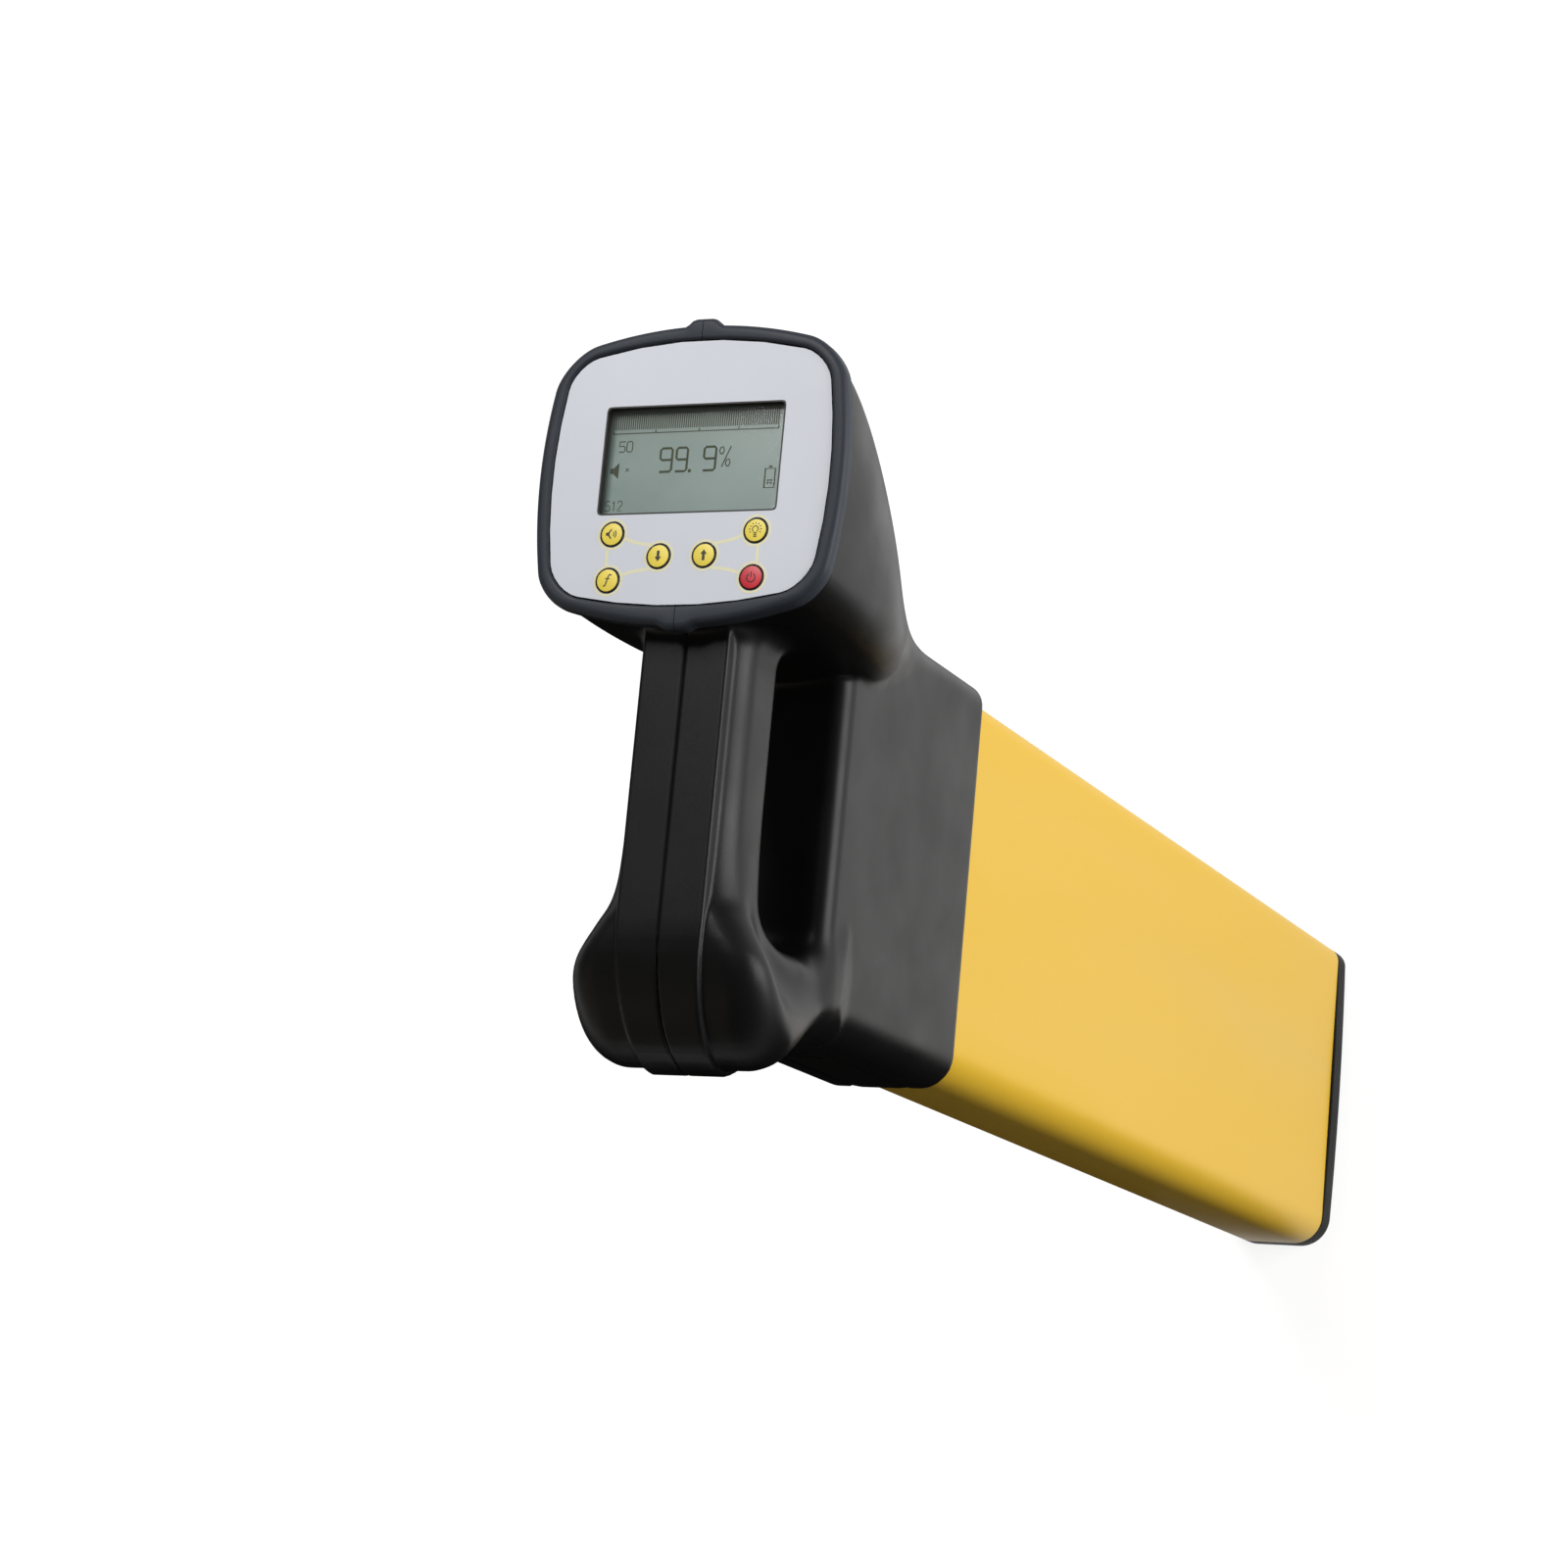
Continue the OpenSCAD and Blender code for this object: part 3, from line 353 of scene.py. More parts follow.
INNER_FINISH = {
    "front_panel": PANEL_SHADE, "panel_overlay": PANEL_GREY, "panel_gasket": SEAL, "lcd_window": WINDOW,
    "lcd_glass": LCD, "lcd_frame": DARK, "main_board": BOARD, "key_switches": DARK,
    "board_standoffs": BRASS, "board_screws": STEEL, "buzzer": DARK, "tube_seal": SEAL,
    "end_cap_seal": SEAL, "aerial_carrier": CARRIER, "carrier_foam": FOAM, "lower_ferrite": FERRITE,
    "lower_coil": COPPER, "upper_ferrite": FERRITE, "upper_coil": COPPER, "null_ferrite": FERRITE,
    "null_coil": COPPER, "preamp_board": BOARD, "aerial_lead": LEAD_BLACK, "battery_lead": LEAD_RED,
    "battery_door": BLACK, "battery_tray": DARK, "battery_cells": CELL, "battery_contacts": STEEL,
    "housing_screws": STEEL,
}


# Mesh helpers

def add_piece(name, points, faces, mat, body, slot, replaces=(), sharp=35.0):
    """A mesh piece in millimetres that rides on a body and may stand for CAD nodes."""
    mesh = bpy.data.meshes.new(name)
    mesh.from_pydata((np.asarray(points, float) * MM).tolist(), [], faces)
    mesh.validate()
    mesh.shade_smooth()
    mesh.set_sharp_from_angle(angle=math.radians(sharp))
    mesh.materials.append(mat)
    piece = bpy.data.objects.new(name, mesh)
    bpy.context.scene.collection.objects.link(piece)
    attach(piece, body)
    if replaces:
        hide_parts(*replaces)
    return piece


def join(shapes):
    """One list of points and one of faces from several."""
    points, faces, start = [], [], 0
    for shape_points, shape_faces in shapes:
        points.extend(np.asarray(shape_points, float).tolist())
        faces.extend([[start + i for i in face] for face in shape_faces])
        start += len(shape_points)
    return points, faces


def loft(rings, loop=False):
    """A skin over rings of equal length. Its ends are closed, unless the rings themselves run in a loop."""
    n, count = len(rings[0]), len(rings)
    points = np.concatenate([np.asarray(ring, float) for ring in rings])
    faces = []
    for k in range(count if loop else count - 1):
        a, b = k * n, (k + 1) % count * n
        for i in range(n):
            j = (i + 1) % n
            faces.append([a + i, a + j, b + j, b + i])
    if not loop:
        faces.append(list(range(n))[::-1])
        faces.append([(count - 1) * n + i for i in range(n)])
    return points, faces


def mirrored(shape):
    points, faces = shape
    return np.asarray(points) * (-1, 1, 1), [face[::-1] for face in faces]


def arc(cx, cy, r, start, steps):
    """A quarter circle from a start angle in degrees."""
    angles = np.radians(start + 90 * np.linspace(0, 1, steps + 1))
    return np.stack([cx + r * np.cos(angles), cy + r * np.sin(angles)], axis=1)


def rounded_rect(hw, y0, y1, r0, r1, steps=12):
    return np.concatenate([arc(hw - r1, y1 - r1, r1, 0, steps), arc(r1 - hw, y1 - r1, r1, 90, steps),
                           arc(r0 - hw, y0 + r0, r0, 180, steps), arc(hw - r0, y0 + r0, r0, 270, steps)])


def split_runs(outline, longest):
    """Splits the runs of a closed outline that are much longer than this."""
    points = []
    for a, b in zip(outline, np.roll(outline, -1, axis=0)):
        count = max(1, round(float(np.hypot(*(b - a))) / longest))
        points.extend(a + (b - a) * k / count for k in range(count))
    return np.array(points)


def raised(outline, z):
    return np.column_stack([outline, np.full(len(outline), z)])


def ease(t):
    t = np.clip(t, 0, 1)
    return t * t * (3 - 2 * t)


# Housing, as the zero surface of a field that is negative inside

def round_and(a, b, r):
    """Where both fields are inside, with the shared edge rounded by r."""
    a, b = a + r, b + r
    return np.minimum(np.maximum(a, b), 0) + np.hypot(np.maximum(a, 0), np.maximum(b, 0)) - r


def blend_or(a, b, k):
    """Where either field is inside, with a fillet of about k where they meet."""
    near = np.maximum(k - np.abs(a - b), 0) / k
    return np.minimum(a, b) - near * near * k / 4


def cut(a, b, k=EDGE_BLEND):
    """Field a without field b, with the edge softened by about k."""
    near = np.maximum(k - np.abs(a + b), 0) / k
    return np.maximum(a, -b) + near * near * k / 4


def bowed(x, y, hw, y0, y1, r0, r1, bulges):
    """Distance in plan from a rounded rectangle whose edges bulge."""
    w, lo, hi = hw - bulges[0], y0 + bulges[2], y1 - bulges[1]
    mid, h = (lo + hi) / 2, (hi - lo) / 2
    end = np.where(y > mid, bulges[1], bulges[2])
    across, along = x, y
    for _ in range(3):
        across = x / (1 + bulges[0] / w * (1 - np.clip(((along - mid) / h) ** 2, 0, 1)))
        along = mid + (y - mid) / (1 + end / h * (1 - np.clip((across / w) ** 2, 0, 1)))
    far = along > mid
    r = np.minimum(np.where(far, r1, r0), MOST_ROUND * np.minimum(w, h))
    a = np.abs(across) - w + r
    b = np.where(far, along - hi, lo - along) + r
    return np.hypot(np.maximum(a, 0), np.maximum(b, 0)) + np.minimum(np.maximum(a, b), 0) - r


def rim_field(x, y, inset):
    return bowed(x, y, RIM_HW - inset, RIM_Y0 + inset, RIM_Y1 - inset,
                 RIM_R_NEAR - inset, RIM_R_FAR - inset, RIM_BOW)


def panel_field(x, y, inset):
    return bowed(x, y, PANEL_HW - inset, PANEL_Y0 + inset, PANEL_Y1 - inset,
                 PANEL_R_NEAR - inset, PANEL_R_FAR - inset, PANEL_BOW)


def collar_field(x, y, z):
    plan = bowed(x, y, COLLAR_HW, -COLLAR_END, COLLAR_END,
                 COLLAR_R_REAR, COLLAR_R_FRONT, STRAIGHT)
    return round_and(round_and(plan, z - COLLAR_TOP, COLLAR_EDGE), COLLAR_Z - z, EDGE_BLEND)


def hood_field(x, y, z):
    s = np.clip((z - HOOD_Z0) / (HOOD_Z1 - HOOD_Z0), 0, 1)
    fade = HOOD_FADE * np.maximum(HOOD_Z0 - z, 0)
    neck_hw, neck_back = COLLAR_HW - HOOD_TUCK, COLLAR_END - HOOD_TUCK
    back = neck_back + (RIM_Y1 - HOOD_SET - neck_back) * (1 - (1 - s) ** HOOD_BACK_POWER)
    front = NECK_Y + (RIM_Y0 + HOOD_SET - NECK_Y) * s + HOOD_LEAN * (1 - s) ** 2
    far = ease((y - front) / (back - front))
    power = HOOD_NEAR_POWER + (HOOD_FAR_POWER - HOOD_NEAR_POWER) * far
    hw = neck_hw + (RIM_HW - HOOD_SET - neck_hw) * (1 - (1 - s) ** power)
    r0 = RIM_R_NEAR - HOOD_SET + HOOD_NEAR_ROUND * (1 - s) ** 2
    r1 = NECK_R + (RIM_R_FAR - HOOD_SET - NECK_R) * s + HOOD_ROUND * np.sin(math.pi * s ** HOOD_ROUND_POWER)
    bulges = (RIM_BOW[0] * s, RIM_BOW[1] * s, NECK_BOW + (RIM_BOW[2] - NECK_BOW) * s)
    plan = bowed(x, y, hw, front, back, r0, r1, bulges)
    return np.maximum(round_and(plan, z - HOOD_Z1, EDGE_BLEND) + fade, COLLAR_Z + HOOD_CUT - z)


def flared(y):
    """Half width of the grip's outer side, which widens into the bridge."""
    return GRIP_HW + (BRIDGE_HW - GRIP_HW) * float(ease((HAND_Y0 + FLARE_LEAD - y) / FLARE_RUN))


def grip_stations(steps=14):
    """Rows along grip, bend and stem.

    Each has an outer and an inner point, the inner and the outer half width, the outer and the inner
    radius, and the band's half width.
    """
    rows = []
    for f in np.linspace(0, 1, steps, endpoint=False):
        start = NECK_Y + GRIP_ROOT
        y = start + (HAND_Y0 - start) * f
        rows.append((y, GRIP_TOP, start + (HAND_Y0 + HAND_R - start) * f, GRIP_IN,
                     GRIP_HW, flared(y), GRIP_R, GRIP_IN_R, BAND_HW))
    for a in np.radians(np.linspace(0, 90, steps, endpoint=False)):
        turn = math.sin(a)
        y = HAND_Y0 - BRIDGE_T * turn
        rows.append((y, BEND_Z + BEND_H * math.cos(a),
                     HAND_Y0 + HAND_R * (1 - turn), GRIP_IN - HAND_R * (1 - math.cos(a)),
                     GRIP_HW + (SHOULDER_HW - GRIP_HW) * turn * turn, flared(y),
                     GRIP_R + (BRIDGE_R - GRIP_R) * turn, GRIP_IN_R + (BRIDGE_IN_R - GRIP_IN_R) * turn,
                     BAND_HW + (BAND_LOW_HW - BAND_HW) * turn))
    rear = HAND_Y0 - BRIDGE_T
    foot_hw = COLLAR_HW - STEM_SIDE_TUCK
    for u in np.linspace(0, 1, steps):
        turn = math.sin(math.pi / 2 * u)
        rows.append((rear + (STEM_TUCK - COLLAR_END - rear) * turn ** STEM_POWER,
                     BEND_Z + (STEM_FOOT - BEND_Z) * u,
                     HAND_Y0 + HAND_R * (1 - math.cos(math.pi / 2 * u)),
                     COLLAR_TOP + HAND_R * (1 - turn) - STEM_DEPTH * u * u,
                     SHOULDER_HW + (foot_hw - SHOULDER_HW) * ease(u),
                     BRIDGE_HW + (foot_hw - BRIDGE_HW) * ease(u),
                     BRIDGE_R, BRIDGE_IN_R, BAND_LOW_HW))
    return np.array(rows)


STATIONS = grip_stations()
EVEN = 6.0
FAR_OFF = 500.0


def near_line(line, values, y, z):
    """Distance to a line of points, and the values at the nearest place on it."""
    best = np.full(np.broadcast(y, z).shape, np.inf)
    found = [np.zeros(best.shape) for _ in values[0]]
    for a, b, at_a, at_b in zip(line[:-1], line[1:], values[:-1], values[1:]):
        run = b - a
        t = np.clip(((y - a[0]) * run[0] + (z - a[1]) * run[1]) / max(run @ run, 1e-9), 0, 1)
        distance = np.hypot(y - a[0] - t * run[0], z - a[1] - t * run[1])
        closer = distance < best
        best = np.where(closer, distance, best)
        found = [np.where(closer, p + (q - p) * t, old) for p, q, old in zip(at_a, at_b, found)]
    return best, found


def spread_over(places, values, y, z):
    """Values between places that have them, each place weighted by its nearness."""
    total, sums = 0.0, [0.0 for _ in values[0]]
    for place, own in zip(places, values):
        weight = ((y - place[0]) ** 2 + (z - place[1]) ** 2 + EVEN ** 2) ** -2.0
        total = total + weight
        sums = [old + weight * value for old, value in zip(sums, own)]
    return [value / total for value in sums]


def within(loop, y, z):
    """Whether points lie inside a closed line."""
    inside = np.zeros(np.broadcast(y, z).shape, bool)
    for a, b in zip(loop, np.roll(loop, -1, axis=0)):
        if a[1] == b[1]:
            continue
        crosses = (a[1] > z) != (b[1] > z)
        inside ^= crosses & (y < a[0] + (z - a[1]) * (b[0] - a[0]) / (b[1] - a[1]))
    return inside


def side_view(y, z):
    """The grip from the side.

    Gives the signed distance, the distance to the outer line, the half width, the radius and the band's
    half width.
    """
    outer, inner = STATIONS[:, :2], STATIONS[:, 2:4]
    to_outer, (band_hw,) = near_line(outer, STATIONS[:, (8,)], y, z)
    to_inner = near_line(inner, STATIONS[:, (8,)], y, z)[0]
    ends = [near_line(np.stack([outer[k], inner[k]]), np.zeros((2, 1)), y, z)[0] for k in (0, -1)]
    distance = np.minimum(np.minimum(to_outer, to_inner), np.minimum(*ends))
    signed = np.where(within(np.concatenate([outer, inner[::-1]]), y, z), -distance, distance)
    places = np.concatenate([outer, inner])
    hw, r = spread_over(places, np.concatenate([STATIONS[:, (5, 6)], STATIONS[:, (4, 7)]]), y, z)
    return signed, to_outer, hw, r, band_hw


def outside_field(x, y, z):
    """The housing's outside without its rim."""
    side, to_outer, hw, r, band_hw = side_view(y, z)
    grip = round_and(np.abs(x) - hw, side, r)
    band = np.maximum(round_and(np.abs(x) - band_hw, side - BAND_H, BAND_R), to_outer - BAND_ROOT)
    fillet = HOOD_BLEND + (SHOULDER_BLEND - HOOD_BLEND) * ease((y - SHOULDER_Y) / SHOULDER_RUN)
    body = blend_or(collar_field(x, y, z), hood_field(x, y, z), fillet)
    body = blend_or(body, grip, np.where(y > 0, GRIP_BLEND, STEM_BLEND))
    return blend_or(body, band, EDGE_BLEND)


def box_field(x, y, z, low, high):
    """Distance from a box, of which a side may be infinitely far."""
    away = [np.maximum(lo - v, v - hi) for v, lo, hi in zip((x, y, z), low, high)]
    return np.maximum(np.maximum(away[0], away[1]), away[2])


def well_places():
    """Where the screws cross the seam, from the middles of the screws' own solids."""
    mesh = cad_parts["housing_screws"].data
    points = np.array([vertex.co for vertex in mesh.vertices]) / MM
    places = []
    for point in points[:, 1:]:
        group = [place for place in places if np.hypot(*(np.mean(place, axis=0) - point)) < 2 * BOSS_R]
        if group:
            group[0].append(point)
        else:
            places.append([point])
    return [(np.min(place, axis=0) + np.max(place, axis=0)) / 2 for place in places]


WELLS = well_places()
DOOR_GAP = 0.3
DOOR_HW = 10.0
DOOR_T = 2.2
DOOR_BLEND = 0.4
NECK_DROP = 0.2
LEDGE_T = 1.0


def housing_field(x, y, z):
    """The housing's shell with its pocket, socket, door opening and screw wells."""
    outside = outside_field(x, y, z)
    neck = np.maximum(rim_field(x, y, HOOD_SET + GROOVE_T),
                      np.maximum(z - POCKET_Z + NECK_DROP, LEDGE_Z - z))
    wall = WALL + HOOD_WALL * ease((z - HOOD_Z0) / (COLLAR_TOP - HOOD_Z0))
    core = np.maximum(outside + wall, np.maximum(SHELF_HIGH - z, z - LEDGE_Z))
    shell = cut(np.minimum(outside, neck), core)
    bosses = np.full(np.broadcast(x, y, z).shape, FAR_OFF)
    wells = bosses
    for place in WELLS:
        reach = np.hypot(y - place[0], z - place[1])
        bosses = np.minimum(bosses, reach - BOSS_R)
        wells = np.minimum(wells, np.minimum(reach - SCREW_R, np.maximum(reach - WELL_R, x - HEAD_X)))
    shell = np.minimum(shell, np.maximum(bosses, outside + WALL / 2))
    shell = cut(shell, np.maximum(wells, np.where(x > 0, outside + WALL, -FAR_OFF)))
    plan = bowed(x, y, TUBE_HIGH[0] + FIT, TUBE_LOW[1] - FIT, TUBE_HIGH[1] + FIT,
                 TUBE_R_REAR, TUBE_R_FRONT, STRAIGHT)
    shell = cut(shell, np.maximum(plan, z - SHELF_LOW))
    shell = cut(shell, np.maximum(panel_field(x, y, GASKET_W), LEDGE_Z - LEDGE_T - z))
    slot_y = DOOR_LOW[1] + DOOR_T
    door = box_field(x, y, z, (-DOOR_HW - DOOR_GAP, -FAR_OFF, 0),
                     (DOOR_HW + DOOR_GAP, slot_y, DOOR_HIGH[2] + DOOR_GAP))
    rails = box_field(x, y, z, (DOOR_LOW[0] - DOOR_GAP, slot_y - DOOR_GAP, 0),
                      (DOOR_HIGH[0] + DOOR_GAP, DOOR_HIGH[1] + DOOR_GAP, DOOR_HIGH[2] + DOOR_GAP))
    tray = box_field(x, y, z, (TRAY_LOW[0] - DOOR_GAP, DOOR_LOW[1], TRAY_LOW[2]),
                     (TRAY_HIGH[0] + DOOR_GAP, TRAY_HIGH[1], TRAY_HIGH[2] + DOOR_GAP))
    shell = cut(shell, np.minimum(np.minimum(door, rails), tray), DOOR_BLEND)
    groove = SEAM_DEPTH * np.maximum(0, 1 - np.abs(x) / SEAM_HW)
    return np.maximum(shell + groove, SEAM / 2 - np.abs(x))


def grid_lines(low, high, step, fine=()):
    """Grid lines a step apart, with finer ones in the stretches given as low, high and step."""
    lines = [low]
    while lines[-1] < high:
        here = lines[-1]
        lines.append(here + min([s for a, b, s in fine if a <= here < b], default=step))
    return np.array(lines)


def surface_net(value, grid):
    """Points and quads of a zero surface, with one point in each grid cell that it crosses."""
    cells = tuple(n - 1 for n in value.shape)
    total, count = np.zeros(cells + (3,)), np.zeros(cells)
    inside = value < 0
    crossings = []
    for axis in range(3):
        a = np.moveaxis(value, axis, 0)
        first, last = a[:-1], a[1:]
        cross = (first < 0) != (last < 0)
        share = np.where(cross, first / np.where(cross, first - last, 1), 0)
        start = grid[axis][:-1].reshape(-1, 1, 1)
        length = np.diff(grid[axis]).reshape(-1, 1, 1)
        place = start + share * length
        others = [k for k in range(3) if k != axis]
        p = grid[others[0]].reshape(1, -1, 1)
        q = grid[others[1]].reshape(1, 1, -1)
        for dp in (0, 1):
            for dq in (0, 1):
                pick = (slice(None), slice(dp, dp + cells[others[0]]), slice(dq, dq + cells[others[1]]))
                hit = np.moveaxis(cross[pick], 0, axis)
                count += hit
                total[..., axis] += np.moveaxis(np.where(cross[pick], place[pick], 0), 0, axis)
                total[..., others[0]] += np.moveaxis(np.where(cross[pick], p[:, pick[1]], 0), 0, axis)
                total[..., others[1]] += np.moveaxis(np.where(cross[pick], q[:, :, pick[2]], 0), 0, axis)
        crossings.append(cross)
    used = count > 0
    number = np.full(cells, -1)
    number[used] = np.arange(used.sum())
    points = total[used] / count[used][:, None]
    quads = []
    for axis in range(3):
        p, q = (axis + 1) % 3, (axis + 2) % 3
        order = (axis, p, q)
        cross = np.transpose(np.moveaxis(crossings[axis], 0, axis), order)
        ids = np.transpose(number, order)
        starts = np.transpose(inside, order)[:-1]
        i, j, k = np.nonzero(cross[:, 1:-1, 1:-1])
        quad = np.stack([ids[i, j, k], ids[i, j + 1, k], ids[i, j + 1, k + 1], ids[i, j, k + 1]], axis=1)
        outward = starts[:, 1:-1, 1:-1][i, j, k]
        quads.append(np.where(outward[:, None], quad, quad[:, ::-1]))
    return points, np.concatenate(quads)


def settle(points, field, rounds=4, step=0.05, reach=0.6):
    """Moves points onto the zero surface along the field's slope."""
    for _ in range(rounds):
        value = field(*points.T)
        slope = np.stack([(field(*(points + step * axis).T) - field(*(points - step * axis).T)) / (2 * step)
                          for axis in np.eye(3)], axis=1)
        move = slope * (value / np.maximum((slope ** 2).sum(axis=1), 0.2))[:, None]
        length = np.maximum(np.linalg.norm(move, axis=1), 1e-9)
        points = points - move * np.minimum(1, reach / length)[:, None]
    return points


# Cells of the grid, and the stretches across the housing where they are finer
CELL_X = 1.4
CELL_YZ = 1.5
RIM_CELL = 0.7
SEAM_CELL = 0.25
FINE_X = [(0, 1.4, 0.35), (BAND_HW - 2, BAND_HW + 1.2, 0.5), (8.6, 13, 0.7)]


def housing_shell(side):
    """Points and quads of one half of the housing without its rim."""
    def field(x, y, z):
        return housing_field(side * x, y, z)

    half = SEAM / 2
    xs = grid_lines(half + SEAM_CELL, RIM_HW + 1, CELL_X, FINE_X)
    xs = np.concatenate([[half - SEAM_CELL], xs])
    ys = grid_lines(HOUSING_LOW[1] - CELL_YZ, HOUSING_HIGH[1] + CELL_YZ, CELL_YZ)
    zs = grid_lines(COLLAR_Z - 1.2, POCKET_Z + CELL_YZ, CELL_YZ, [(HOOD_Z1 - 5, POCKET_Z + 2, RIM_CELL)])
    value = field(xs[:, None, None], ys[None, :, None], zs[None, None, :])
    points, quads = surface_net(value, (xs, ys, zs))
    on_seam = points[:, 0] < half + 0.2
    points = settle(points, field)
    points[on_seam, 0] = half
    points[:, 0] = np.maximum(points[:, 0], half)
    shape = (points, quads.tolist())
    return shape if side > 0 else mirrored(shape)


def half_outline(hw, y0, y1, r0, r1, bulges, steps=14):
    """The right half of a bowed outline, from the middle of its far edge to the middle of its near edge."""
    w, lo, hi = hw - bulges[0], y0 + bulges[2], y1 - bulges[1]
    mid, h = (lo + hi) / 2, (hi - lo) / 2
    edge = np.linspace(0, 1, 2 * steps, endpoint=False)[:, None]
    half = SEAM / 2
    far = arc(w - r1, hi - r1, r1, 0, steps)[::-1]
    near = arc(w - r0, lo + r0, r0, 270, steps)[::-1]
    p = np.concatenate([(half, hi) + (far[0] - (half, hi)) * edge, far,
                        far[-1] + (near[0] - far[-1]) * edge[1:], near,
                        near[-1] + ((half, lo) - near[-1]) * edge[1:], [(half, lo)]])
    end = np.where(p[:, 1] > mid, bulges[1], bulges[2])
    across = p[:, 0] * (1 + bulges[0] / w * (1 - ((p[:, 1] - mid) / h) ** 2))
    along = p[:, 1] + end * (p[:, 1] - mid) / h * (1 - (p[:, 0] / w) ** 2)
    return np.column_stack([across, along])


def rim_outline(inset):
    outline = half_outline(RIM_HW - inset, RIM_Y0 + inset, RIM_Y1 - inset,
                           RIM_R_NEAR - inset, RIM_R_FAR - inset, RIM_BOW)
    lug = ease((BUMP_HW - outline[:, 0]) / (BUMP_HW - BUMP_FLAT))
    middle = (RIM_Y0 + RIM_Y1) / 2
    outline[:, 1] += np.where(outline[:, 1] > middle, BUMP_FAR, -BUMP_NEAR) * lug
    return outline


def pocket_outline(grow):
    return half_outline(PANEL_HW + grow, PANEL_Y0 - grow, PANEL_Y1 + grow,
                        PANEL_R_NEAR + grow, PANEL_R_FAR + grow, PANEL_BOW)


def rim_half(side):
    """Points and faces of one half of the rim: its section, carried along the half outline."""
    rows = [raised(rim_outline(RIM_BACK), RIM_Z), raised(rim_outline(0), RIM_Z + RIM_BACK)]
    for a in np.radians(np.linspace(0, 90, 8)):
        inset, drop = RIM_EDGE * (1 - math.cos(a)), RIM_EDGE * (1 - math.sin(a))
        rows.append(raised(rim_outline(inset), HEAD_Z - drop))
    for a in np.radians(np.linspace(90, 0, 5)):
        grow = PANEL_GAP + RIM_INNER_EDGE * (1 - math.cos(a))
        rows.append(raised(pocket_outline(grow), HEAD_Z - RIM_INNER_EDGE * (1 - math.sin(a))))
    rows.append(raised(pocket_outline(PANEL_GAP), RIM_Z))
    sections = np.stack(rows).transpose(1, 0, 2)
    shape = loft(list(sections))
    return shape if side > 0 else mirrored(shape)


SHELL_SHARP = 70.0

for half_name, half_side in (("housing_right", 1), ("housing_left", -1)):
    add_piece(f"{half_name}_shell", *housing_shell(half_side), BLACK, "housing", "housing_black",
              [half_name], SHELL_SHARP)
    add_piece(f"{half_name}_rim", *rim_half(half_side), RIM_BLACK, "housing", "housing_black")


# Tube and end cap

def tube_outline(inset):
    outline = rounded_rect(TUBE_HIGH[0] - inset, TUBE_LOW[1] + inset, TUBE_HIGH[1] - inset,
                           TUBE_R_REAR - inset, TUBE_R_FRONT - inset)
    return split_runs(outline, TUBE_RUN)


def tube_shape():
    rings = [raised(tube_outline(inset), z) for inset, z in (
        (0, TUBE_LOW[2]), (0, TUBE_HIGH[2]), (TUBE_WALL, TUBE_HIGH[2]), (TUBE_WALL, TUBE_LOW[2]))]
    return loft(rings, loop=True)


def cap_outline(inset):
    """The tube's outline with sides that bow out a little."""
    outline = tube_outline(inset)
    outline[:, 0] *= 1 + CAP_BOW / TUBE_HIGH[0] * (1 - (outline[:, 1] / TUBE_HIGH[1]) ** 2)
    return outline


def cap_shape():
    """A cup with a rounded outer edge and a plug that enters the tube."""
    rings = []
    for a in np.radians(np.linspace(90, 0, 7)):
        rings.append(raised(cap_outline(CAP_EDGE * (1 - math.cos(a))), CAP_EDGE * (1 - math.sin(a))))
    plug = TUBE_WALL + FIT
    rings.append(raised(cap_outline(0), CAP_T - CAP_LIP))
    rings.append(raised(cap_outline(CAP_LIP), CAP_T))
    for inset, z in ((plug, CAP_T), (plug, CAP_HIGH[2]),
                     (plug + CAP_WALL, CAP_HIGH[2]), (plug + CAP_WALL, CAP_WALL)):
        rings.append(raised(tube_outline(inset), z))
    return loft(rings)


add_piece("aerial_tube_skin", *tube_shape(), YELLOW, "housing", "tube_yellow", ["aerial_tube"])
add_piece("end_cap_skin", *cap_shape(), CAP_BLACK, "housing", "cap_black", ["end_cap"])


# Marks: thin closed plates and bands that lie on a surface, whose height is a function of its place

SINK = 0.05
RISE = 0.03


def strip(path, width, height, closed=False):
    """A band along a line."""
    path = np.asarray(path, float)
    ahead, behind = np.roll(path, -1, axis=0), np.roll(path, 1, axis=0)
    if not closed:
        ahead[-1], behind[0] = path[-1], path[0]
    run = ahead - behind
    run /= np.linalg.norm(run, axis=1)[:, None]
    side = np.column_stack([-run[:, 1], run[:, 0]]) * width / 2
    edges = ((path - side, -SINK), (path - side, RISE), (path + side, RISE), (path + side, -SINK))
    rows = [np.column_stack([edge, height(*edge.T) + lift]) for edge, lift in edges]
    return loft(list(np.stack(rows, axis=1)[:, ::-1]), loop=closed)


def patch(outline, height):
    """A plate with this outline, which runs anticlockwise."""
    outline = np.asarray(outline, float)
    z = height(*outline.T)
    return loft([np.column_stack([outline, z - SINK]), np.column_stack([outline, z + RISE])])


def circle(cx, cy, r, start=0.0, end=360.0, steps=40):
    angles = np.radians(np.linspace(start, end, steps, endpoint=abs(end - start) < 360))
    return np.stack([cx + r * np.cos(angles), cy + r * np.sin(angles)], axis=1)


def box(x0, y0, x1, y1):
    return [(x0, y0), (x1, y0), (x1, y1), (x0, y1)]


# Keys, each with a crowned top, a dark ring near its edge and a mark that rides on it

KEY_R = 3.85
KEY_FLANGE_T = 0.8
KEY_EDGE = 0.45
KEY_CROWN = 0.22
RING_DEPTH = 1.0
MARK_W = 0.3
ARROW = [(-0.45, -1.7), (0.45, -1.7), (0.45, 0.25), (1.05, 0.25), (0.0, 1.75), (-1.05, 0.25), (-0.45, 0.25)]


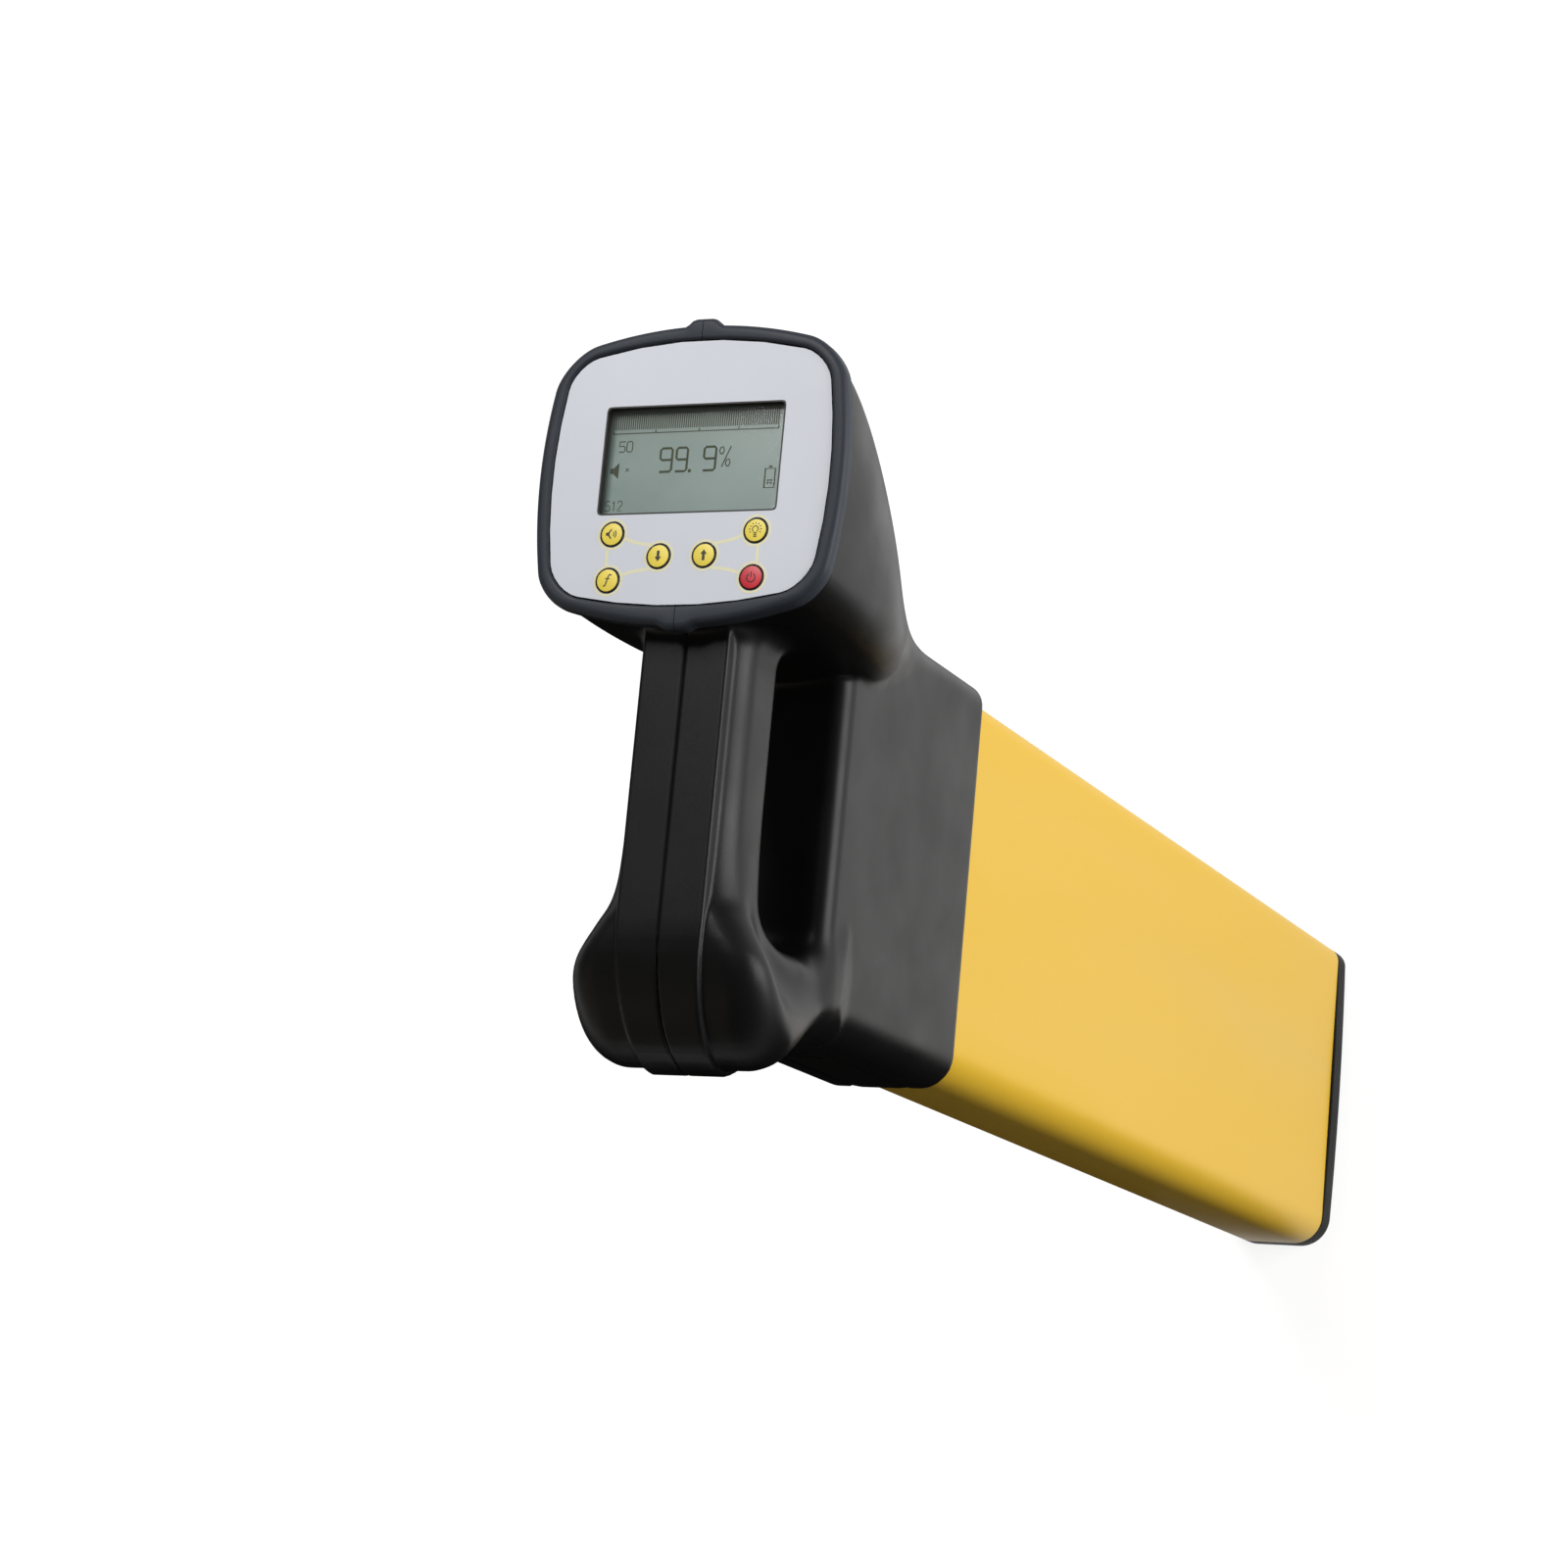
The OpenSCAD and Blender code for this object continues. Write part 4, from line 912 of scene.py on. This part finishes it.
def crown(r):
    """Height of a key's top below its middle."""
    return -KEY_CROWN * (r / KEY_R) ** 2


def key_shape(low, high):
    middle = (low[:2] + high[:2]) / 2
    flange = (high[0] - low[0]) / 2
    profile = [(flange, low[2]), (flange, low[2] + KEY_FLANGE_T), (KEY_R, low[2] + KEY_FLANGE_T)]
    shoulder = KEY_R - KEY_EDGE
    for a in np.radians(np.linspace(0, 90, 6)):
        drop = crown(shoulder) - KEY_EDGE * (1 - math.sin(a))
        profile.append((shoulder + KEY_EDGE * math.cos(a), high[2] + drop))
    for share in (0.8, 0.6, 0.4, 0.2, 0.02):
        profile.append((shoulder * share, high[2] + crown(shoulder * share)))
    return loft([raised(circle(*middle, r), z) for r, z in profile])


def key_ring(level):
    """A thin dark sleeve over the rounded edge of a key's top."""
    shoulder = KEY_R - KEY_EDGE
    outside = [(KEY_R + RISE, level - RING_DEPTH)]
    for a in np.radians(np.linspace(0, 84, 7)):
        drop = crown(shoulder) - KEY_EDGE * (1 - math.sin(a)) + RISE * math.sin(a)
        outside.append((shoulder + (KEY_EDGE + RISE) * math.cos(a), level + drop))
    inside = [(r - 2 * RISE, z - 3 * RISE) for r, z in outside[::-1]]
    return loft([raised(circle(0, 0, r), z) for r, z in outside + inside], loop=True)


def sound_mark(top):
    speaker = [(-2.0, -0.5), (-1.3, -0.5), (-0.1, -1.8), (-0.1, 1.8), (-1.3, 0.5), (-2.0, 0.5)]
    waves = [strip(circle(-0.3, 0, r, -40, 40, 10), MARK_W, top) for r in (1.05, 1.75)]
    return [patch(speaker, top)] + waves


def light_mark(top):
    bulb = strip(circle(0, 0.35, 0.95, -60, 240, 24), MARK_W, top)
    foot = [patch(box(-0.5, y - 0.18, 0.5, y + 0.18), top) for y in (-0.85, -1.4, -1.95)]
    rays = []
    for a in np.radians(np.linspace(-30, 210, 9)):
        ends = [(r * math.cos(a), 0.35 + r * math.sin(a)) for r in (1.65, 2.1)]
        rays.append(strip(ends, MARK_W, top))
    return [bulb] + foot + rays


def function_mark(top):
    stroke = [(1.25, 1.5), (1.0, 1.8), (0.6, 1.75), (0.35, 1.3), (0.05, 0.3), (-0.25, -0.8), (-0.5, -1.5),
              (-0.85, -1.85), (-1.2, -1.75)]
    return [strip(stroke, MARK_W + 0.1, top), strip([(-0.75, 0.5), (0.85, 0.5)], MARK_W, top)]


def power_mark(top):
    return [strip(circle(0, -0.2, 1.35, 125, 415, 30), MARK_W + 0.1, top),
            strip([(0, 0.0), (0, 1.75)], MARK_W + 0.1, top)]


def up_mark(top):
    return [patch(ARROW, top)]


def down_mark(top):
    return [patch([(-x, -y) for x, y in ARROW], top)]


KEYS = (
    ("sound_key", sound_mark, KEY_YELLOW, INK, "key_yellow"),
    ("light_key", light_mark, KEY_YELLOW, INK, "key_yellow"),
    ("down_key", down_mark, KEY_YELLOW, INK, "key_yellow"),
    ("up_key", up_mark, KEY_YELLOW, INK, "key_yellow"),
    ("function_key", function_mark, KEY_YELLOW, INK, "key_yellow"),
    ("power_key", power_mark, KEY_RED, INK_RED, "key_red"),
)
KEY_PLACES = []
for key, key_mark, finish, ink, slot in KEYS:
    key_low, key_high = corners(key)
    place = (key_low + key_high)[:2] / 2
    KEY_PLACES.append(place)

    def key_top(x, y, level=key_high[2]):
        return level + crown(np.hypot(x, y))

    add_piece(f"{key}_body", *key_shape(key_low, key_high), finish, key, slot, [key])
    marks = join([key_ring(key_high[2])] + key_mark(key_top))
    add_piece(f"{key}_mark", np.asarray(marks[0]) + (*place, 0), marks[1], ink, key, slot)


# Print on the panel: a halo round each key and lines between them

OVERLAY_Z = OVERLAY_HIGH[2]
HALO_R = 4.6
HALO_W = 0.8
LINE_W = 1.0


def on_panel(x, y):
    return np.full(np.shape(x), OVERLAY_Z)


def below_halos(x, y):
    return np.full(np.shape(x), OVERLAY_Z - RISE / 2)


def curve(a, b, c, d, steps=16):
    """A cubic curve from a to d, drawn towards b and c."""
    t = np.linspace(0, 1, steps)[:, None]
    a, b, c, d = (np.array(p, float) for p in (a, b, c, d))
    return a * (1 - t) ** 3 + 3 * b * t * (1 - t) ** 2 + 3 * c * t * t * (1 - t) + d * t ** 3


def panel_print():
    shapes = [strip(circle(*place, HALO_R), HALO_W, on_panel, closed=True) for place in KEY_PLACES]
    lines = [curve((-19.6, 68.0), (-17.5, 66.6), (-14.5, 66.0), (-9.9, 65.5)),
             curve((-19.5, 56.1), (-17.4, 57.2), (-14.3, 57.6), (-10.7, 57.9)),
             np.array([(-25.2, 64.8), (-25.2, 59.0)])]
    for line in lines:
        shapes.extend(strip(side, LINE_W, below_halos) for side in (line, line[::-1] * (-1, 1)))
    return join(shapes)


add_piece("panel_print", *panel_print(), PRINT_YELLOW, "housing", "panel_grey")


# Marks of the display, placed by shares across its opening and down from its far edge

LCD_W, LCD_H = 60.0, 34.5
LCD_X0 = -LCD_W / 2 - 2.2
LCD_Y1 = (GLASS_LOW[1] + GLASS_HIGH[1]) / 2 + LCD_H / 2 + 1.1
STROKE_W = 0.75
SHADE_LINING_W = 0.4
SHADE_LINING_R = 1.6
GLYPHS = {
    "0": [[(0.2, 0), (0.8, 0), (1, 0.15), (1, 0.85), (0.8, 1), (0.2, 1), (0, 0.85), (0, 0.15), (0.2, 0)]],
    "1": [[(0.2, 0.78), (0.55, 1), (0.55, 0)]],
    "2": [[(0, 0.8), (0.2, 1), (0.8, 1), (1, 0.85), (1, 0.62), (0, 0), (1, 0)]],
    "5": [[(1, 1), (0, 1), (0, 0.56), (0.8, 0.56), (1, 0.44), (1, 0.12), (0.8, 0), (0, 0)]],
    "9": [[(1, 0.5), (0.15, 0.5), (0, 0.58), (0, 0.92), (0.15, 1), (0.85, 1), (1, 0.92), (1, 0.08),
           (0.85, 0), (0, 0)]],
    "%": [[(0.3, 0.62), (0.1, 0.66), (0.02, 0.8), (0.1, 0.94), (0.3, 0.98), (0.42, 0.8), (0.3, 0.62)],
          [(1, 1), (0.3, 0)],
          [(0.9, 0.02), (0.7, 0.06), (0.62, 0.2), (0.7, 0.34), (0.9, 0.38), (1.02, 0.2), (0.9, 0.02)]],
}


def shade_lining_shape():
    """A thin dark lining of the display opening, from the window up to just above the print: painted shade
    on the opening's walls.
    """
    middle = (GLASS_LOW[1] + GLASS_HIGH[1]) / 2
    rings = []
    for inset, z in ((-0.1, WINDOW_HIGH[2]), (-0.1, OVERLAY_Z + RISE), (SHADE_LINING_W, OVERLAY_Z + RISE),
                     (SHADE_LINING_W, WINDOW_HIGH[2])):
        outline = rounded_rect(LCD_W / 2 - inset, middle - LCD_H / 2 + inset, middle + LCD_H / 2 - inset,
                               SHADE_LINING_R - inset, SHADE_LINING_R - inset)
        rings.append(raised(outline, z))
    return loft(rings, loop=True)


# Painted shade: a dark lining on the walls of the display opening.
add_piece("lcd_shade_lining", *shade_lining_shape(), INK, "housing", "dark_plastic")


def on_glass(x, y):
    return np.full(np.shape(x), GLASS_HIGH[2])


def on_display(s, t):
    return LCD_X0 + LCD_W * s, LCD_Y1 - LCD_H * t


def glyph(name, s0, t0, s1, t1, width):
    """The strokes of a sign in a box from its far left to its near right corner."""
    return [strip([on_display(s0 + (s1 - s0) * u, t1 + (t0 - t1) * v) for u, v in line], width, on_glass)
            for line in GLYPHS[name]]


def block(s0, t0, s1, t1):
    (x0, y1), (x1, y0) = on_display(s0, t0), on_display(s1, t1)
    return patch(box(x0, y0, x1, y1), on_glass)


def strong_marks():
    """The reading, the loudspeaker and the battery."""
    shapes = []
    for sign, s0, s1 in (("9", 0.335, 0.401), ("9", 0.425, 0.487), ("9", 0.58, 0.646)):
        shapes.extend(glyph(sign, s0, 0.4, s1, 0.617, STROKE_W))
    shapes.append(block(0.497, 0.6, 0.514, 0.63))
    shapes.extend(glyph("%", 0.664, 0.4, 0.728, 0.59, 0.4))
    corners_st = ((0.057, 0.57), (0.075, 0.57), (0.105, 0.52), (0.105, 0.67), (0.075, 0.62), (0.057, 0.62))
    shapes.append(patch([on_display(s, t) for s, t in corners_st][::-1], on_glass))
    case = [on_display(s, t) for s, t in ((0.93, 0.62), (0.985, 0.62), (0.985, 0.795), (0.93, 0.795))]
    shapes.append(strip(case[::-1], 0.5, on_glass, closed=True))
    shapes.append(block(0.948, 0.594, 0.967, 0.61))
    shapes.extend(block(s, t, s + 0.012, t + 0.014) for s in (0.943, 0.96) for t in (0.72, 0.745))
    return join(shapes)


def faint_marks():
    """The bar row with its scale, and the small figures."""
    starts = np.arange(0.05, 0.98, 0.012)
    shapes = [block(s, 0.06, s + 0.0068, 0.215) for s in starts]
    shapes.append(block(0.05, 0.245, 0.985, 0.255))
    shapes.extend(block(s, 0.222, s + 0.007, 0.244) for s in (0.05, 0.29, 0.535, 0.757, 0.978))
    for sign, s0, s1 in (("5", 0.096, 0.128), ("0", 0.138, 0.17)):
        shapes.extend(glyph(sign, s0, 0.325, s1, 0.42, 0.38))
    for s in (0.143, 0.163):
        shapes.append(strip([on_display(s, 0.57), on_display(0.306 - s, 0.605)], 0.25, on_glass))
    for sign, s0 in (("5", 0.05), ("1", 0.084), ("2", 0.118)):
        shapes.extend(glyph(sign, s0, 0.875, s0 + 0.025, 0.965, 0.3))
    return join(shapes)


add_piece("lcd_reading", *strong_marks(), LCD_INK, "housing", "lcd_green")
add_piece("lcd_scale", *faint_marks(), LCD_FAINT, "housing", "lcd_green")


# Finish of the CAD nodes that stay

for node, finish in INNER_FINISH.items():
    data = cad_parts[node].data
    data.materials.clear()
    data.materials.append(finish)
door_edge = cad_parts["battery_door"].modifiers.new("edge", "BEVEL")
door_edge.width = 0.3 * MM
door_edge.segments = 2


# Floor, light and camera

def floor_material():
    """A pale floor that keeps the object's shadow and is white where nothing shades it."""
    mat, tree, shader = new_material("floor_pale")
    tone = mix_colours(tree, spread(tree, noise(tree, 3.0), 0.0, 1.0),
                       (0.28, 0.28, 0.28, 1), (0.31, 0.31, 0.31, 1))
    tree.links.new(tone, shader.inputs["Base Color"])
    shader.inputs["Roughness"].default_value = 0.9
    path = tree.nodes.new("ShaderNodeLightPath")
    seen = tree.nodes.new("ShaderNodeMath")
    seen.operation = "MAXIMUM"
    tree.links.new(path.outputs["Is Camera Ray"], seen.inputs[0])
    tree.links.new(path.outputs["Is Glossy Ray"], seen.inputs[1])
    both = tree.nodes.new("ShaderNodeMath")
    both.operation = "MAXIMUM"
    tree.links.new(seen.outputs["Value"], both.inputs[0])
    tree.links.new(path.outputs["Is Transmission Ray"], both.inputs[1])
    glow = spread(tree, both.outputs["Value"], 0.0, 0.86, 0.0, 1.0)
    shader.inputs["Emission Color"].default_value = (1, 1, 1, 1)
    tree.links.new(glow, shader.inputs["Emission Strength"])
    return mat


def add_floor(half_size=6.0):
    mesh = bpy.data.meshes.new("floor")
    corners_xy = [(-1, -1), (1, -1), (1, 1), (-1, 1)]
    mesh.from_pydata([(half_size * x, half_size * y, 0) for x, y in corners_xy], [], [(0, 1, 2, 3)])
    mesh.materials.append(floor_material())
    floor = bpy.data.objects.new("floor", mesh)
    bpy.context.scene.collection.objects.link(floor)


# Flags in metres: left, near, right and far side, and their height above the floor
FLAGS = {"near_flag": (-1.5, -1.5, 1.5, -0.075), "left_flag": (-1.5, -0.075, -0.06, 1.5)}
FLAG_Z = 0.002


def add_flags():
    """Dark cards on the near and the left side, which only reflections see."""
    finish = moulded("flag_dark", srgb(30, 30, 30), 0.9, Specular_IOR_Level=0.0)
    for name, sides in FLAGS.items():
        mesh = bpy.data.meshes.new(name)
        mesh.from_pydata([(x, y, FLAG_Z) for x, y in box(*sides)], [], [(0, 1, 2, 3)])
        mesh.materials.append(finish)
        flag = bpy.data.objects.new(name, mesh)
        flag.visible_camera = False
        flag.visible_diffuse = False
        flag.visible_transmission = False
        flag.visible_shadow = False
        bpy.context.scene.collection.objects.link(flag)


def add_world(strength):
    world = bpy.data.worlds.new("studio")
    world.use_nodes = True
    back = world.node_tree.nodes["Background"]
    back.inputs["Color"].default_value = (0.94, 0.97, 1.0, 1)
    back.inputs["Strength"].default_value = strength
    bpy.context.scene.world = world


def add_lamp(name, place, aim, size, watts, colour=(1, 1, 1)):
    """A soft square lamp, placed and aimed in metres."""
    lamp = bpy.data.lights.new(name, "AREA")
    lamp.shape = "SQUARE"
    lamp.size = size
    lamp.energy = watts
    lamp.color = colour
    obj = bpy.data.objects.new(name, lamp)
    obj.location = place
    obj.rotation_euler = (Vector(aim) - Vector(place)).to_track_quat("-Z", "Y").to_euler()
    bpy.context.scene.collection.objects.link(obj)


def add_camera():
    eye, aim = Vector(EYE) * MM, Vector(AIM) * MM
    look = (aim - eye).normalized()
    level = Vector((0, 1, 0)) - look * look.y
    level.normalize()
    roll = math.radians(ROLL)
    up = level * math.cos(roll) + look.cross(level) * math.sin(roll)
    right = look.cross(up)
    data = bpy.data.cameras.new("camera")
    data.sensor_fit = "HORIZONTAL"
    data.sensor_width = SENSOR
    data.lens = LENS
    camera = bpy.data.objects.new("camera", data)
    camera.matrix_world = Matrix.Translation(eye) @ Matrix((right, up, -look)).transposed().to_4x4()
    bpy.context.scene.collection.objects.link(camera)
    bpy.context.scene.camera = camera


add_floor()
add_flags()
add_world(0.07)
add_lamp("key_lamp", (-0.35, 1.0, 1.9), (0, 0.05, 0.5), 0.9, 22)
add_lamp("side_lamp", (2.0, 0.35, 0.75), (0, 0, 0.4), 1.4, 43)
add_lamp("fill_lamp", (-1.2, -1.0, 1.3), (0, 0, 0.5), 1.4, 2.4, (1.0, 0.84, 0.62))
add_camera()
bpy.context.scene.view_settings.view_transform = "Standard"
